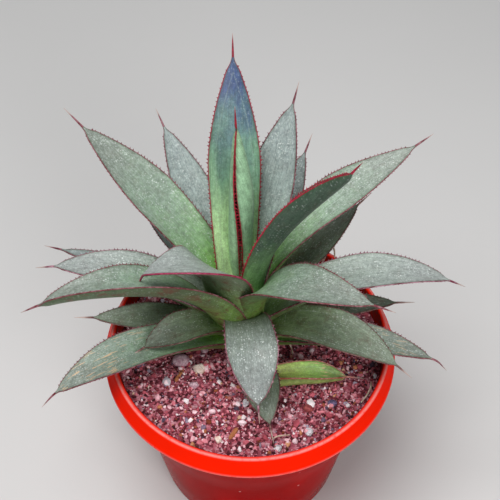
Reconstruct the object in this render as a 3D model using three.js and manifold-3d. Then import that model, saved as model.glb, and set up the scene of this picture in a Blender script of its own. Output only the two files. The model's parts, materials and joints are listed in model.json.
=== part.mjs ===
// A potted agave: a toothed, spine-tipped rosette in a red nursery pot filled with gritty soil.
// Units are millimetres, +Z is up, and the origin is the centre of the pot's underside.
// The pot's axis is Z. Headings are degrees about +Z from +X, and -Y is the plant's front.
import * as THREE from 'three';
import { mergeVertices } from 'three/addons/utils/BufferGeometryUtils.js';
import Module from 'manifold-3d';

// ---- Driving dimensions ----
const POT_HEIGHT = 112;
const RIM_RADIUS = 77; // at the lower edge of the skirt, the widest place
const FOOT_RADIUS = 52;
const WALL = 1; // plastic thickness
const SKIRT_HEIGHT = 10.8;
const SKIRT_FLARE = 4.2; // how far the skirt's lower edge stands out past the rim's top edge
const SHOULDER_DROP = 21; // from the rim down to the stacking shoulder
const SHOULDER_STEP = 3.8;
const SHOULDER_INSET = 3.2; // how far the shoulder stands in from the rim's top edge
const SHOULDER_SLOPE = 2.5; // height of the shoulder's sloping face
const ROUNDING = 1.2; // at the foot's edge and at the lip
const FLOOR = 1.4;
const DRAIN_HOLES = 8;
const DRAIN_RADIUS = 4.5;
const SOIL_BELOW_RIM = 10;
const SOIL_INSET = 4; // from the rim's top edge to the edge of the soil's face
const SOIL_CLEARANCE = 0.5; // between the soil and the pot's wall
const CROWN_X = -4;
const CROWN_Y = 4;
const STEM_RADIUS = 8.5;
const STEM_DEPTH = 30; // how far the stem goes down into the soil
const STEM_RISE = 42; // how far it stands above the soil
const LEAF_LENGTH = 100;
const LEAF_WIDTH = 25;
const WIDEST = 0.57; // where a leaf is widest, as a share of its length
const LEAF_BASE_THICKNESS = 6;
const LEAF_TIP_THICKNESS = 1.4;
const SPINE_RADIUS = 0.9;
const SPINE_END_RADIUS = 0.25;
const GAP = 0.3; // clear space left between neighbouring solids
const LEAN_STEP = 1; // degrees that a leaf is raised at a time to clear the pot's rim

// ---- Levels that follow from them ----
const RIM_TOP_RADIUS = RIM_RADIUS - SKIRT_FLARE;
const SHOULDER_Z = POT_HEIGHT - SHOULDER_DROP;
const SHOULDER_RADIUS = RIM_TOP_RADIUS - SHOULDER_INSET;
const SOIL_Z = POT_HEIGHT - SOIL_BELOW_RIM;
const SOIL_RADIUS = RIM_TOP_RADIUS - SOIL_INSET;
const LIP_RADIUS = RIM_TOP_RADIUS - WALL - ROUNDING;
const LIP_Z = POT_HEIGHT - 2 * WALL;

// ---- How fine the surfaces are ----
const POT_SEGMENTS = 36;
const STEM_SEGMENTS = 14;
const LEAF_RING = 6;
const BLADE_ROWS = 10;
const SPINE_ROWS = 1;
const STEPS_PER_ROW = 5;

const wasm = await Module();
wasm.setup();

// ---- Materials ----
const PLASTIC = { color: 0xd81e0c, roughness: 0.35 };
const POTTING_MIX = { color: 0x6a3a40, roughness: 1 };
const STEM_GREEN = { color: 0x8a9a58, roughness: 0.7 };
const GREY_GREEN = { color: 0x7f9383, roughness: 0.55 };
const BLUE_GREEN = { color: 0x6f8f9b, roughness: 0.5 };
const DEEP_GREEN = { color: 0x4d6b46, roughness: 0.5 };
const PINK_STONE = { color: 0xb07f84, roughness: 0.9 };
const CREAM_STONE = { color: 0xdcbfae, roughness: 0.9 };
const WHITE_STONE = { color: 0xd9d2cf, roughness: 0.9 };
const RED_STONE = { color: 0x93333a, roughness: 0.9 };
const DARK_STONE = { color: 0x4c4258, roughness: 0.9 };
const BARK = { color: 0xa8583a, roughness: 0.95 };
const FIBRE = { color: 0xcab59a, roughness: 0.9 };

function makeMesh(name, geometry, look) {
  const mesh = new THREE.Mesh(geometry, new THREE.MeshStandardMaterial({ ...look, metalness: 0 }));
  mesh.name = name;
  return mesh;
}

// ---- Between three.js geometry and solids that can be cut ----
function weld(geometry) {
  geometry.deleteAttribute('normal');
  geometry.deleteAttribute('uv');
  return mergeVertices(geometry, 1e-4);
}

function toSolid(geometry) {
  const welded = weld(geometry.clone());
  return new wasm.Manifold(new wasm.Mesh({
    numProp: 3,
    vertProperties: Float32Array.from(welded.attributes.position.array),
    triVerts: Uint32Array.from(welded.index.array),
  }));
}

function toGeometry(solid) {
  const shape = solid.getMesh();
  const geometry = new THREE.BufferGeometry();
  geometry.setAttribute('position', new THREE.BufferAttribute(shape.vertProperties, 3));
  geometry.setIndex(new THREE.BufferAttribute(shape.triVerts, 1));
  geometry.computeVertexNormals();
  return geometry;
}

function largestBody(solid) {
  return solid.decompose().reduce((best, body) => (body.volume() > best.volume() ? body : best));
}

// A body turned about Z from [radius, height] pairs that start and end on the axis.
function turned(pairs, segments) {
  const outline = pairs.map(([radius, height]) => new THREE.Vector2(radius, height));
  return new THREE.LatheGeometry(outline, segments).rotateX(Math.PI / 2);
}

// ---- Pot ----
// The inner wall from the floor up to the lip, as [radius, height] pairs.
function innerWall() {
  const belowStep = SHOULDER_RADIUS - SHOULDER_STEP - WALL;
  return [
    [FOOT_RADIUS - 2 * WALL - ROUNDING / 2, FLOOR],
    [FOOT_RADIUS - WALL, FLOOR + WALL],
    [belowStep, SHOULDER_Z - SHOULDER_SLOPE + WALL * 0.7],
    [SHOULDER_RADIUS - WALL, SHOULDER_Z + WALL * 0.8],
    [LIP_RADIUS, LIP_Z],
  ];
}

function potGeometry() {
  const rim = RIM_TOP_RADIUS;
  const skirtZ = POT_HEIGHT - SKIRT_HEIGHT;
  const shell = toSolid(turned([
    [0, 0],
    [FOOT_RADIUS - ROUNDING, 0],
    [FOOT_RADIUS, ROUNDING],
    [SHOULDER_RADIUS - SHOULDER_STEP, SHOULDER_Z - SHOULDER_SLOPE],
    [SHOULDER_RADIUS, SHOULDER_Z],
    [rim - WALL, LIP_Z],
    [RIM_RADIUS - WALL, skirtZ],
    [RIM_RADIUS - WALL / 3, skirtZ - WALL / 5],
    [RIM_RADIUS, skirtZ + WALL / 2],
    [rim + ROUNDING / 2, POT_HEIGHT - ROUNDING / 2],
    [rim, POT_HEIGHT],
    [rim - WALL, POT_HEIGHT],
    [LIP_RADIUS + WALL / 2, POT_HEIGHT - ROUNDING / 2],
    ...innerWall().reverse(),
    [0, FLOOR],
  ], POT_SEGMENTS));
  let pot = shell;
  for (let hole = 0; hole < DRAIN_HOLES; hole += 1) {
    const angle = (hole + 0.5) * 2 * Math.PI / DRAIN_HOLES;
    const drill = new THREE.CylinderGeometry(DRAIN_RADIUS, DRAIN_RADIUS, 3 * FLOOR, 12);
    drill.rotateX(Math.PI / 2);
    const reach = FOOT_RADIUS - 2 * DRAIN_RADIUS;
    drill.translate(reach * Math.cos(angle), reach * Math.sin(angle), FLOOR / 2);
    pot = pot.subtract(toSolid(drill));
  }
  return toGeometry(pot);
}

// ---- Soil ----
// The top's unevenness at a place, in millimetres above SOIL_Z.
function soilBump(x, y) {
  return 0.5 * Math.sin(x / 9 + 1) * Math.cos(y / 11) + 0.35 * Math.sin((x + 2 * y) / 7);
}

// The inner wall's radius at a height.
function wallRadius(height) {
  const wall = innerWall();
  const next = wall.findIndex(([, level]) => level > height);
  const [radius, level] = wall[next - 1];
  const [nextRadius, nextLevel] = wall[next];
  return radius + (nextRadius - radius) * (height - level) / (nextLevel - level);
}

function soilSolid() {
  const side = innerWall()
    .map(([radius, level]) => [radius - SOIL_CLEARANCE, level + GAP])
    .filter(([, level]) => level < SOIL_Z);
  const geometry = turned([
    [0, FLOOR + GAP],
    ...side,
    [wallRadius(SOIL_Z) - SOIL_CLEARANCE, SOIL_Z],
    [SOIL_RADIUS * 0.72, SOIL_Z],
    [SOIL_RADIUS * 0.42, SOIL_Z],
    [0, SOIL_Z],
  ], POT_SEGMENTS);
  const place = geometry.attributes.position;
  for (let i = 0; i < place.count; i += 1) {
    const atTop = place.getZ(i) > SOIL_Z - 0.01;
    const inside = Math.hypot(place.getX(i), place.getY(i)) < SOIL_RADIUS * 0.9;
    if (atTop && inside) {
      place.setZ(i, SOIL_Z + soilBump(place.getX(i), place.getY(i)));
    }
  }
  return toSolid(geometry);
}

// ---- Stem ----
function stemGeometry(extra) {
  const top = SOIL_Z + STEM_RISE + extra;
  const bottom = SOIL_Z - STEM_DEPTH - extra;
  const geometry = turned([
    [0, bottom],
    [STEM_RADIUS * 0.7 + extra, bottom],
    [STEM_RADIUS + extra, SOIL_Z],
    [STEM_RADIUS * 0.7 + extra, SOIL_Z + STEM_RISE * 0.6],
    [STEM_RADIUS * 0.35 + extra, top],
    [0, top],
  ], STEM_SEGMENTS);
  return geometry.translate(CROWN_X, CROWN_Y, 0);
}

// ---- Leaves ----
// heading: compass direction of the base. turn: how far the blade swings round by its tip.
// pitch: climb at the base, middle and tip. long, wide: shares of LEAF_LENGTH and LEAF_WIDTH.
// lift: height of the base above the soil. out: its distance from the stem's axis.
// foot: width at the base as a share of the widest. cup: how far each half of the blade
// curls up, base and tip. roll: lean about the midrib.
// spine: length of the horny tip. sag: how far the spine bends down. at: a base off the stem.
const LEAF_SHAPE = {
  turn: 0, out: 6, foot: 0.66, cup: [35, 20], roll: 0, spine: 9, sag: 0, fat: 1 };

const LEAVES = [
  // the furled spear and the leaves that stand round it
  { name: 'leaf_spear', look: BLUE_GREEN, heading: 98, pitch: [86, 78, 74], long: 0.98,
    wide: 0.46, lift: 40, out: 1, cup: [5, 5], fat: 1.9 },
  { name: 'leaf_tall', look: BLUE_GREEN, heading: 91, pitch: [76, 60, 55], long: 1.24,
    wide: 1.04, lift: 36, at: [-7, 7] },
  { name: 'leaf_inner_right', look: DEEP_GREEN, heading: -2, turn: -40, pitch: [95, 60, 63],
    long: 1.16, wide: 1, lift: 38, out: 5, cup: [30, 100], roll: -20 },
  { name: 'leaf_left_upper', look: GREY_GREEN, heading: 149, pitch: [62, 40, 36], long: 1.17,
    wide: 1.08, lift: 34, spine: 11 },
  { name: 'leaf_back_right', look: GREY_GREEN, heading: 64, pitch: [72, 60, 55], long: 1.06,
    wide: 1, lift: 32 },
  { name: 'leaf_back_left', look: GREY_GREEN, heading: 119, pitch: [56, 38, 32], long: 1.04,
    wide: 0.88, lift: 22 },
  { name: 'leaf_right_upper', look: GREY_GREEN, heading: 44, turn: -27, pitch: [72, 15, 33],
    long: 1.23, wide: 0.9, foot: 0.25, lift: 31, cup: [60, 12], roll: 14 },
  // the arching leaves of the middle
  { name: 'leaf_front_left_arched', look: GREY_GREEN, heading: 230, turn: -64,
    pitch: [68, 60, -69], long: 0.87, wide: 1.3, lift: 34, out: 7, cup: [20, 12], roll: 20 },
  { name: 'leaf_front_right_arched', look: GREY_GREEN, heading: -50, turn: 38,
    pitch: [86, 40, -15], long: 1.01, wide: 1.04, lift: 29 },
  { name: 'leaf_front_hanging', look: GREY_GREEN, heading: -82, pitch: [85, 0, -60],
    long: 0.67, wide: 1.04, lift: 22, out: 7 },
  { name: 'leaf_left_long', look: GREY_GREEN, heading: 210, turn: -33, pitch: [72, 30, -34],
    long: 1.22, wide: 1.29, lift: 26, cup: [25, 59], roll: 26, at: [-10, -2.5] },
  { name: 'leaf_left_middle', look: GREY_GREEN, heading: 173, pitch: [52, 16, -15], long: 0.99,
    wide: 0.96, lift: 21, out: 8 },
  { name: 'leaf_right_long', look: GREY_GREEN, heading: 3, pitch: [50, 14, -32], long: 1.1,
    wide: 0.92, lift: 22, out: 8 },
  { name: 'leaf_back_right_low', look: GREY_GREEN, heading: 62, pitch: [58, 43, 40],
    long: 0.88, wide: 0.8, lift: 20, out: 8 },
  { name: 'leaf_left_behind', look: GREY_GREEN, heading: 133, pitch: [50, 25, 10], long: 0.88,
    wide: 0.92, lift: 18, out: 8 },
  { name: 'leaf_right_behind', look: DEEP_GREEN, heading: 40, pitch: [50, 25, 15], long: 0.84,
    wide: 0.88, lift: 14, out: 8 },
  // the low leaves
  { name: 'leaf_right_front', look: GREY_GREEN, heading: -25, pitch: [52, 10, -34], long: 0.86,
    wide: 1, lift: 15, out: 8 },
  { name: 'leaf_left_short', look: GREY_GREEN, heading: 206, pitch: [50, 8, -20], long: 0.51,
    wide: 0.8, lift: 19, out: 8 },
  { name: 'leaf_left_dark', look: DEEP_GREEN, heading: 180, pitch: [28, 5, 0], long: 0.72,
    wide: 0.72, lift: 11, out: 8 },
  { name: 'leaf_left_thin', look: GREY_GREEN, heading: 160, pitch: [42, 12, -5], long: 1.02,
    wide: 0.52, lift: 10, out: 8 },
  { name: 'leaf_left_low', look: GREY_GREEN, heading: 204, pitch: [32, 4, -36], long: 1.01,
    wide: 0.92, lift: 9, out: 8, sag: 15 },
  { name: 'leaf_right_low', look: GREY_GREEN, heading: -15, pitch: [30, 8, -18], long: 0.96,
    wide: 0.76, lift: 8, out: 8, sag: 40 },
  { name: 'leaf_right_under', look: DEEP_GREEN, heading: 5, pitch: [30, 8, -5], long: 0.76,
    wide: 0.64, lift: 12, out: 8 },
  { name: 'leaf_front_under', look: DEEP_GREEN, heading: -76, pitch: [30, -5, -30], long: 0.52,
    wide: 0.8, lift: 9, out: 8 },
  { name: 'leaf_back_low_left', look: DEEP_GREEN, heading: 104, pitch: [42, 12, -14],
    long: 0.7, wide: 0.84, lift: 8, out: 8 },
  { name: 'leaf_back_low_right', look: DEEP_GREEN, heading: 74, pitch: [40, 14, -10],
    long: 0.66, wide: 0.8, lift: 10, out: 8 },
  { name: 'leaf_on_soil', look: DEEP_GREEN, heading: -1, pitch: [14, 0, -8], long: 0.42,
    wide: 0.64, lift: 2, cup: [80, 80], at: [9, -20] },
].map((leaf) => ({ ...LEAF_SHAPE, ...leaf }));

// A value that runs smoothly through its base, middle and tip figures.
function alongLeaf([base, middle, tip], share) {
  return base * (1 - share) * (1 - 2 * share) + 4 * middle * share * (1 - share)
    + tip * share * (2 * share - 1);
}

// Half-width as a share of the widest: a broad foot, the widest place past the middle, a point.
function bladeProfile(leaf, share) {
  if (share < WIDEST) {
    return 1 - (1 - leaf.foot) * (1 - share / WIDEST) ** 1.4;
  }
  return 1 - ((share - WIDEST) / (1 - WIDEST)) ** 1.7;
}

function thicknessAt(leaf, share) {
  const taper = (LEAF_BASE_THICKNESS - LEAF_TIP_THICKNESS) * (1 - share) ** 1.3;
  return leaf.fat * (LEAF_TIP_THICKNESS + taper);
}

// The blade's direction at a place along it.
function leafDirection(leaf, share) {
  const pitch = THREE.MathUtils.degToRad(alongLeaf(leaf.pitch, share));
  const heading = THREE.MathUtils.degToRad(leaf.heading + leaf.turn * share * share);
  const forward = new THREE.Vector3(
    Math.cos(pitch) * Math.cos(heading), Math.cos(pitch) * Math.sin(heading), Math.sin(pitch));
  const side = new THREE.Vector3(-Math.sin(heading), Math.cos(heading), 0);
  const up = forward.clone().cross(side);
  return { forward, side, up };
}

function leafBase(leaf) {
  const heading = THREE.MathUtils.degToRad(leaf.heading);
  const [x, y] = leaf.at ?? [
    CROWN_X + leaf.out * Math.cos(heading), CROWN_Y + leaf.out * Math.sin(heading)];
  return new THREE.Vector3(x, y, SOIL_Z + leaf.lift);
}

// Midrib points with their directions, one for each row of the blade.
function midrib(leaf) {
  const steps = BLADE_ROWS * STEPS_PER_ROW;
  const stride = leaf.long * LEAF_LENGTH / steps;
  const at = leafBase(leaf);
  const rows = [];
  for (let step = 0; step <= steps; step += 1) {
    const share = step / steps;
    if (step % STEPS_PER_ROW === 0) {
      rows.push({ share, point: at.clone(), ...leafDirection(leaf, share) });
    }
    const middle = leafDirection(leaf, Math.min(1, share + 0.5 / steps));
    at.addScaledVector(middle.forward, stride);
  }
  return rows;
}

// A place on the blade's skin. across runs from -1 to 1 over the width. through is 1 on the
// upper face, 0 at the margins and -1 on the lower face. extra swells the skin outward.
function bladePoint(leaf, row, across, through, extra) {
  const half = Math.max(SPINE_RADIUS, bladeProfile(leaf, row.share) * leaf.wide * LEAF_WIDTH / 2);
  const [baseCup, tipCup] = leaf.cup;
  const cup = THREE.MathUtils.degToRad(baseCup + (tipCup - baseCup) * row.share);
  const roll = THREE.MathUtils.degToRad(leaf.roll);
  const side = row.side.clone().applyAxisAngle(row.forward, roll);
  const up = row.up.clone().applyAxisAngle(row.forward, roll);
  const bend = cup * across;
  const tangent = side.clone().multiplyScalar(Math.cos(bend)).addScaledVector(up, Math.sin(bend));
  const outward = up.clone().multiplyScalar(Math.cos(bend)).addScaledVector(side, -Math.sin(bend));
  const skin = thicknessAt(leaf, row.share) * (through > 0 ? 0.12 : 1) * through;
  return row.point.clone()
    .addScaledVector(side, half * Math.sin(bend) / cup)
    .addScaledVector(up, half * (1 - Math.cos(bend)) / cup)
    .addScaledVector(tangent, 1.5 * extra * across)
    .addScaledVector(outward, skin + extra * through);
}

// The spine goes on from the blade's end as a thin cone.
function spinePoint(leaf, last, reach, across, through, extra) {
  const sag = THREE.MathUtils.degToRad(leaf.sag);
  const ahead = last.forward.clone().multiplyScalar(Math.cos(sag));
  ahead.z -= Math.sin(sag);
  const radius = SPINE_RADIUS + (SPINE_END_RADIUS - SPINE_RADIUS) * reach + extra;
  return last.point.clone()
    .addScaledVector(ahead, leaf.spine * reach)
    .addScaledVector(last.side, radius * across)
    .addScaledVector(last.up, radius * through);
}

// A capped cylinder whose rows are laid along the midrib and flattened into a blade.
function leafGeometry(leaf, extra) {
  const rows = midrib(leaf);
  const last = rows[BLADE_ROWS];
  const count = BLADE_ROWS + SPINE_ROWS;
  const quarter = Math.PI / 2; // puts a corner of the ring on each margin
  const geometry = new THREE.CylinderGeometry(1, 1, count, LEAF_RING, count, false, quarter);
  const place = geometry.attributes.position;
  for (let i = 0; i < place.count; i += 1) {
    const rowNumber = Math.round(place.getY(i) + count / 2);
    const across = -place.getX(i);
    const through = place.getZ(i);
    let point;
    if (rowNumber <= BLADE_ROWS) {
      point = bladePoint(leaf, rows[rowNumber], across, through, extra);
    } else {
      const reach = (rowNumber - BLADE_ROWS) / SPINE_ROWS;
      point = spinePoint(leaf, last, reach, across, through, extra);
    }
    if (rowNumber === 0) {
      point.addScaledVector(rows[0].forward, -extra);
    }
    if (rowNumber === count) {
      point.addScaledVector(last.forward, extra);
    }
    place.setXYZ(i, point.x, point.y, point.z);
  }
  return geometry;
}

// ---- Loose stones and bark on the soil ----
// x, y: shares of the soil's radius. size: length, width and height. sunk: share below the soil.
const STONE_SHAPE = { turn: 0, sunk: 0.35, angular: true };

const STONES = [
  { name: 'stone_pink_pebble', look: PINK_STONE, x: -0.53, y: -0.13, size: [9.5, 7.5, 5.5],
    angular: false },
  { name: 'stone_dark_small', look: DARK_STONE, x: -0.51, y: -0.01, size: [5, 4, 3.5],
    angular: false },
  { name: 'stone_cream', look: CREAM_STONE, x: -0.39, y: -0.21, size: [7.5, 6, 5], turn: 20 },
  { name: 'stone_pink_small', look: PINK_STONE, x: -0.35, y: -0.03, size: [4.5, 4, 3.6] },
  { name: 'stone_lilac_shard', look: WHITE_STONE, x: -0.63, y: -0.32, size: [7, 4, 3],
    turn: 60 },
  { name: 'stone_grey_lilac', look: PINK_STONE, x: -0.42, y: -0.36, size: [5.5, 4, 3.2] },
  { name: 'stone_grey_shard', look: WHITE_STONE, x: -0.03, y: -0.51, size: [6, 3, 3],
    turn: -55 },
  { name: 'stone_white_front', look: WHITE_STONE, x: 0.2, y: -0.89, size: [5, 4, 3.2],
    turn: 30 },
  { name: 'stone_white_right', look: WHITE_STONE, x: 0.43, y: -0.76, size: [4.5, 5.5, 3.4] },
  { name: 'stone_cream_front', look: CREAM_STONE, x: -0.23, y: -0.82, size: [4, 5, 3.2] },
  { name: 'stone_red_pebble', look: RED_STONE, x: 0.43, y: -0.56, size: [5.5, 4.5, 4],
    angular: false },
  { name: 'stone_purple_pebble', look: DARK_STONE, x: 0.61, y: -0.52, size: [5, 4, 3.6],
    angular: false },
  { name: 'stone_white_back', look: WHITE_STONE, x: 0.86, y: 0.36, size: [5, 5, 4] },
  { name: 'bark_left', look: BARK, x: -0.54, y: -0.28, size: [8, 2.6, 2.6], turn: 66 },
  { name: 'bark_front', look: BARK, x: -0.12, y: -0.77, size: [8, 4, 2.6], turn: 75 },
];

function stoneGeometry(stone, extra) {
  const { size, turn, sunk, angular } = { ...STONE_SHAPE, ...stone };
  const geometry = angular
    ? new THREE.DodecahedronGeometry(1, 0)
    : new THREE.IcosahedronGeometry(1, 1);
  const [length, width, height] = size.map((side) => side / 2 + extra);
  geometry.scale(length, width, height);
  geometry.rotateZ(THREE.MathUtils.degToRad(turn));
  const x = stone.x * SOIL_RADIUS;
  const y = stone.y * SOIL_RADIUS;
  const rise = SOIL_Z + soilBump(x, y) + size[2] * (0.5 - sunk);
  return geometry.translate(x, y, rise);
}

// ---- Dried fibres lying on the soil ----
// path: [x, y] as shares of the soil's radius, and a height in millimetres above the soil.
const FIBRES = [
  { name: 'fibre_right', radius: 0.5,
    path: [[0.82, -0.52, 1.6], [0.87, -0.46, 2.8], [0.9, -0.4, 3.2], [0.91, -0.34, 2.4]] },
  { name: 'fibre_front', radius: 0.4,
    path: [[0.16, -0.83, 1.6], [0.19, -0.81, 2.2], [0.24, -0.8, 2.2], [0.29, -0.79, 1.6]] },
  { name: 'fibre_middle', radius: 0.4,
    path: [[0.33, -0.09, 1.4], [0.32, -0.04, 2.6], [0.3, 0, 4.2], [0.3, 0.05, 5]] },
  { name: 'fibre_back', radius: 0.6,
    path: [[0.55, 0.74, 1.6], [0.6, 0.77, 9], [0.63, 0.78, 17], [0.67, 0.75, 21],
      [0.68, 0.7, 17]] },
];

function fibreGeometry({ path, radius }) {
  const route = new THREE.CatmullRomCurve3(path.map(([x, y, height]) => new THREE.Vector3(
    x * SOIL_RADIUS, y * SOIL_RADIUS, SOIL_Z + height)));
  const section = new THREE.Shape();
  section.absarc(0, 0, radius, 0, 2 * Math.PI);
  return new THREE.ExtrudeGeometry(section, {
    steps: 7, curveSegments: 3, extrudePath: route, bevelEnabled: false });
}

// ---- Assembly ----
// A leaf that would press on the pot's rim leans up until it is just clear.
function clearOfPot(leaf, pot) {
  let raised = leaf;
  while (!toSolid(leafGeometry(raised, GAP)).intersect(pot).isEmpty()) {
    raised = { ...raised, pitch: raised.pitch.map((climb) => climb + LEAN_STEP) };
  }
  return raised;
}

const group = new THREE.Group();
const potShape = potGeometry();
group.add(makeMesh('pot', potShape, PLASTIC));

const stem = toSolid(stemGeometry(0));
group.add(makeMesh('stem', toGeometry(stem), STEM_GREEN));

// Each leaf is cut clear of the stem and of every leaf nearer the middle than itself.
const inTheWay = [toSolid(stemGeometry(GAP))];
let soil = soilSolid().subtract(inTheWay[0]);
const potSolid = toSolid(potShape);
for (const wanted of LEAVES) {
  const leaf = clearOfPot(wanted, potSolid);
  let blade = toSolid(leafGeometry(leaf, 0));
  for (const inner of inTheWay) {
    blade = blade.subtract(inner);
  }
  group.add(makeMesh(leaf.name, toGeometry(largestBody(blade)), leaf.look));
  const swollen = toSolid(leafGeometry(leaf, GAP));
  inTheWay.push(swollen);
  soil = soil.subtract(swollen);
}

for (const stone of STONES) {
  group.add(makeMesh(stone.name, weld(stoneGeometry(stone, 0)), stone.look));
  soil = soil.subtract(toSolid(stoneGeometry(stone, GAP)));
}
for (const fibre of FIBRES) {
  group.add(makeMesh(fibre.name, weld(fibreGeometry(fibre)), FIBRE));
}
group.add(makeMesh('soil', toGeometry(largestBody(soil)), POTTING_MIX));

export default group;
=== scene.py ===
"""A potted agave: toothed grey-green rosette, gritty soil and a red nursery pot."""

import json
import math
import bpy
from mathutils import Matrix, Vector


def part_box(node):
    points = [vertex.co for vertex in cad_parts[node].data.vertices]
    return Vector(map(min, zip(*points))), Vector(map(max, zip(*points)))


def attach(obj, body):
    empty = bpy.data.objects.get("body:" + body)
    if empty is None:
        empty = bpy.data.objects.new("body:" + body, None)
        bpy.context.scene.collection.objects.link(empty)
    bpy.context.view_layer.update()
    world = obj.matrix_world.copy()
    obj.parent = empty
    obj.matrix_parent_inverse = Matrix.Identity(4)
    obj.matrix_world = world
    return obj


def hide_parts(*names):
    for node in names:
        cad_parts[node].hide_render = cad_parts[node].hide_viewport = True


bl_info = {
    "name": "Potted Agave",
    "version": (1, 0, 0),
    "blender": (4, 5, 0),
    "location": "3D View > Sidebar > Agave",
    "description": "Makes the leaves, soil and pot of a potted agave around its solid model",
    "category": "Add Mesh",
}

import bmesh
import bpy
import numpy as np
from bpy.props import FloatProperty, FloatVectorProperty, IntProperty, PointerProperty
from mathutils import Matrix, Vector, noise

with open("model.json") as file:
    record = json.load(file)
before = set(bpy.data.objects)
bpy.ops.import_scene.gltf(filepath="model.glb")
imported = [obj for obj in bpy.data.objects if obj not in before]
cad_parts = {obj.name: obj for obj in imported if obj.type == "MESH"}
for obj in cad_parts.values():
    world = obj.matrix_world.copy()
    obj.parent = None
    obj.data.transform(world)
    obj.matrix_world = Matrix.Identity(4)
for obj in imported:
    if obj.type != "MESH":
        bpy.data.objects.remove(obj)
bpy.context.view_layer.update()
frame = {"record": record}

# Shapes are worked out in millimetres, as the solid model's are, and stored in metres.
MM = 0.001
BODY = "root"
SLOT_OF = {part["node"]: part["material_slot"] for part in frame["record"]["subparts"]}


def nodes_called(start):
    """Solid nodes whose names start alike, in order."""
    return sorted(node for node in SLOT_OF if node.startswith(start))


def millimetres(vector):
    """A place in metres, as an array in millimetres."""
    return np.array(vector) / MM


def solid_box(node):
    """Lowest and highest corner of a solid node, in millimetres."""
    low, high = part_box(node)
    return millimetres(low), millimetres(high)


POT_LOW, POT_HIGH = solid_box("pot")
STEM_LOW, STEM_HIGH = solid_box("stem")
POT_HEIGHT = POT_HIGH[2]
RIM_RADIUS = (POT_HIGH[0] - POT_LOW[0]) / 2
CROWN = (STEM_LOW[:2] + STEM_HIGH[:2]) / 2


# ---- Sizes and colours a user may change ----
def length_property(name, description, default):
    """A length, with its default in millimetres."""
    return FloatProperty(
        name=name, description=description, default=default * MM, min=0, precision=5,
        subtype="DISTANCE", unit="LENGTH")


def colour_property(name, description, default):
    """A colour as red, green and blue."""
    return FloatVectorProperty(
        name=name, description=description, default=default, size=3, min=0, max=1,
        subtype="COLOR")


class PotSizes(bpy.types.PropertyGroup):
    """Sizes and colours of the nursery pot."""

    foot_radius: length_property("Foot radius", "Radius of the pot's underside", 52)
    wall: length_property("Wall", "Thickness of the plastic", 1)
    skirt_height: length_property("Skirt height", "Height of the band round the rim", 10.8)
    skirt_flare: length_property(
        "Skirt flare", "How far the band's lower edge stands out past the rim's top", 4.2)
    shoulder_drop: length_property(
        "Shoulder drop", "From the rim down to the stacking shoulder", 21)
    shoulder_inset: length_property(
        "Shoulder inset", "How far the shoulder stands in from the rim's top edge", 3.2)
    shoulder_step: length_property("Shoulder step", "Width of the stacking shoulder", 3.8)
    floor: length_property("Floor", "Thickness of the pot's floor", 1.4)
    drain_radius: length_property("Drain radius", "Radius of a drainage hole", 4.5)
    drain_holes: IntProperty(
        name="Drain holes", description="Number of drainage holes", default=8, min=3)
    plastic: colour_property("Plastic", "Colour of the pot's rim", (0.95, 0.014, 0.001))
    # The body's colour is painted shade: the rim's red plastic made deeper below the band.
    body: colour_property("Body", "Colour of the pot's body", (0.42, 0.0, 0.0))
    # This colour also paints the highlights along the rim's top edge and the band's lower edge.
    dust_and_highlight: colour_property("Dust", "Colour of dust and scuffs", (0.80, 0.62, 0.58))


class LeafSizes(bpy.types.PropertyGroup):
    """Sizes shared by all leaves."""

    length: length_property("Length", "Length of a leaf whose share is 1", 100)
    width: length_property("Width", "Width of a leaf whose share is 1", 25)
    base_thickness: length_property("Base thickness", "Thickness at the foot of a leaf", 6)
    tip_thickness: length_property("Tip thickness", "Thickness near the spine", 1.4)
    margin_radius: length_property("Margin radius", "Radius of the horny edge", 0.26)
    spine_radius: length_property("Spine radius", "Radius at the foot of the spine", 0.55)
    tooth_height: length_property("Tooth height", "Height of the largest teeth", 1.0)
    tooth_spacing: length_property("Tooth spacing", "Usual distance between teeth", 2.0)
    spine_tip: colour_property("Spine tip", "Colour of the dry spine ends", (0.46, 0.34, 0.30))
    bloom: colour_property("Bloom", "Colour of the waxy bloom", (0.44, 0.50, 0.47))


class SoilSizes(bpy.types.PropertyGroup):
    """Sizes and colours of the potting mix."""

    below_rim: length_property("Below rim", "From the rim down to the soil", 10)
    coarse: length_property("Coarse grain", "Typical size of the coarse grains", 1.7)
    fine: length_property("Fine grain", "Typical size of the fine grains", 0.85)
    coarse_count: IntProperty(
        name="Coarse grains", description="Number of coarse grains", default=1900, min=0)
    large: length_property("Large piece", "Typical size of the large pieces", 2.9)
    large_count: IntProperty(
        name="Large pieces", description="Number of large pieces", default=190, min=0)
    fine_count: IntProperty(
        name="Fine grains", description="Number of fine grains", default=6000, min=0)
    dark: colour_property("Dark", "Darkest colour of the mix", (0.035, 0.010, 0.012))
    pale: colour_property("Pale", "Colour of pumice grains", (0.75, 0.54, 0.58))


class StageSizes(bpy.types.PropertyGroup):
    """Camera, floor and lights."""

    aim_height: length_property("Aim height", "Height that the camera looks at", 181.2)
    distance: length_property("Distance", "From the camera to where it aims", 473.7)
    elevation: FloatProperty(
        name="Elevation", description="Camera's angle above the horizon",
        default=math.radians(49.18), subtype="ANGLE", unit="ROTATION")
    lens: FloatProperty(
        name="Lens", description="Focal length on a 36 mm sensor", default=72,
        subtype="DISTANCE_CAMERA", unit="CAMERA")
    key_power: FloatProperty(
        name="Key power", description="Power of the large lamp overhead", default=14,
        subtype="POWER", unit="POWER")
    fill_power: FloatProperty(
        name="Fill power", description="Power of the lamp in front", default=7,
        subtype="POWER", unit="POWER")
    backdrop: colour_property("Floor colour", "Colour of the pale floor", (0.66, 0.65, 0.64))


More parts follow.
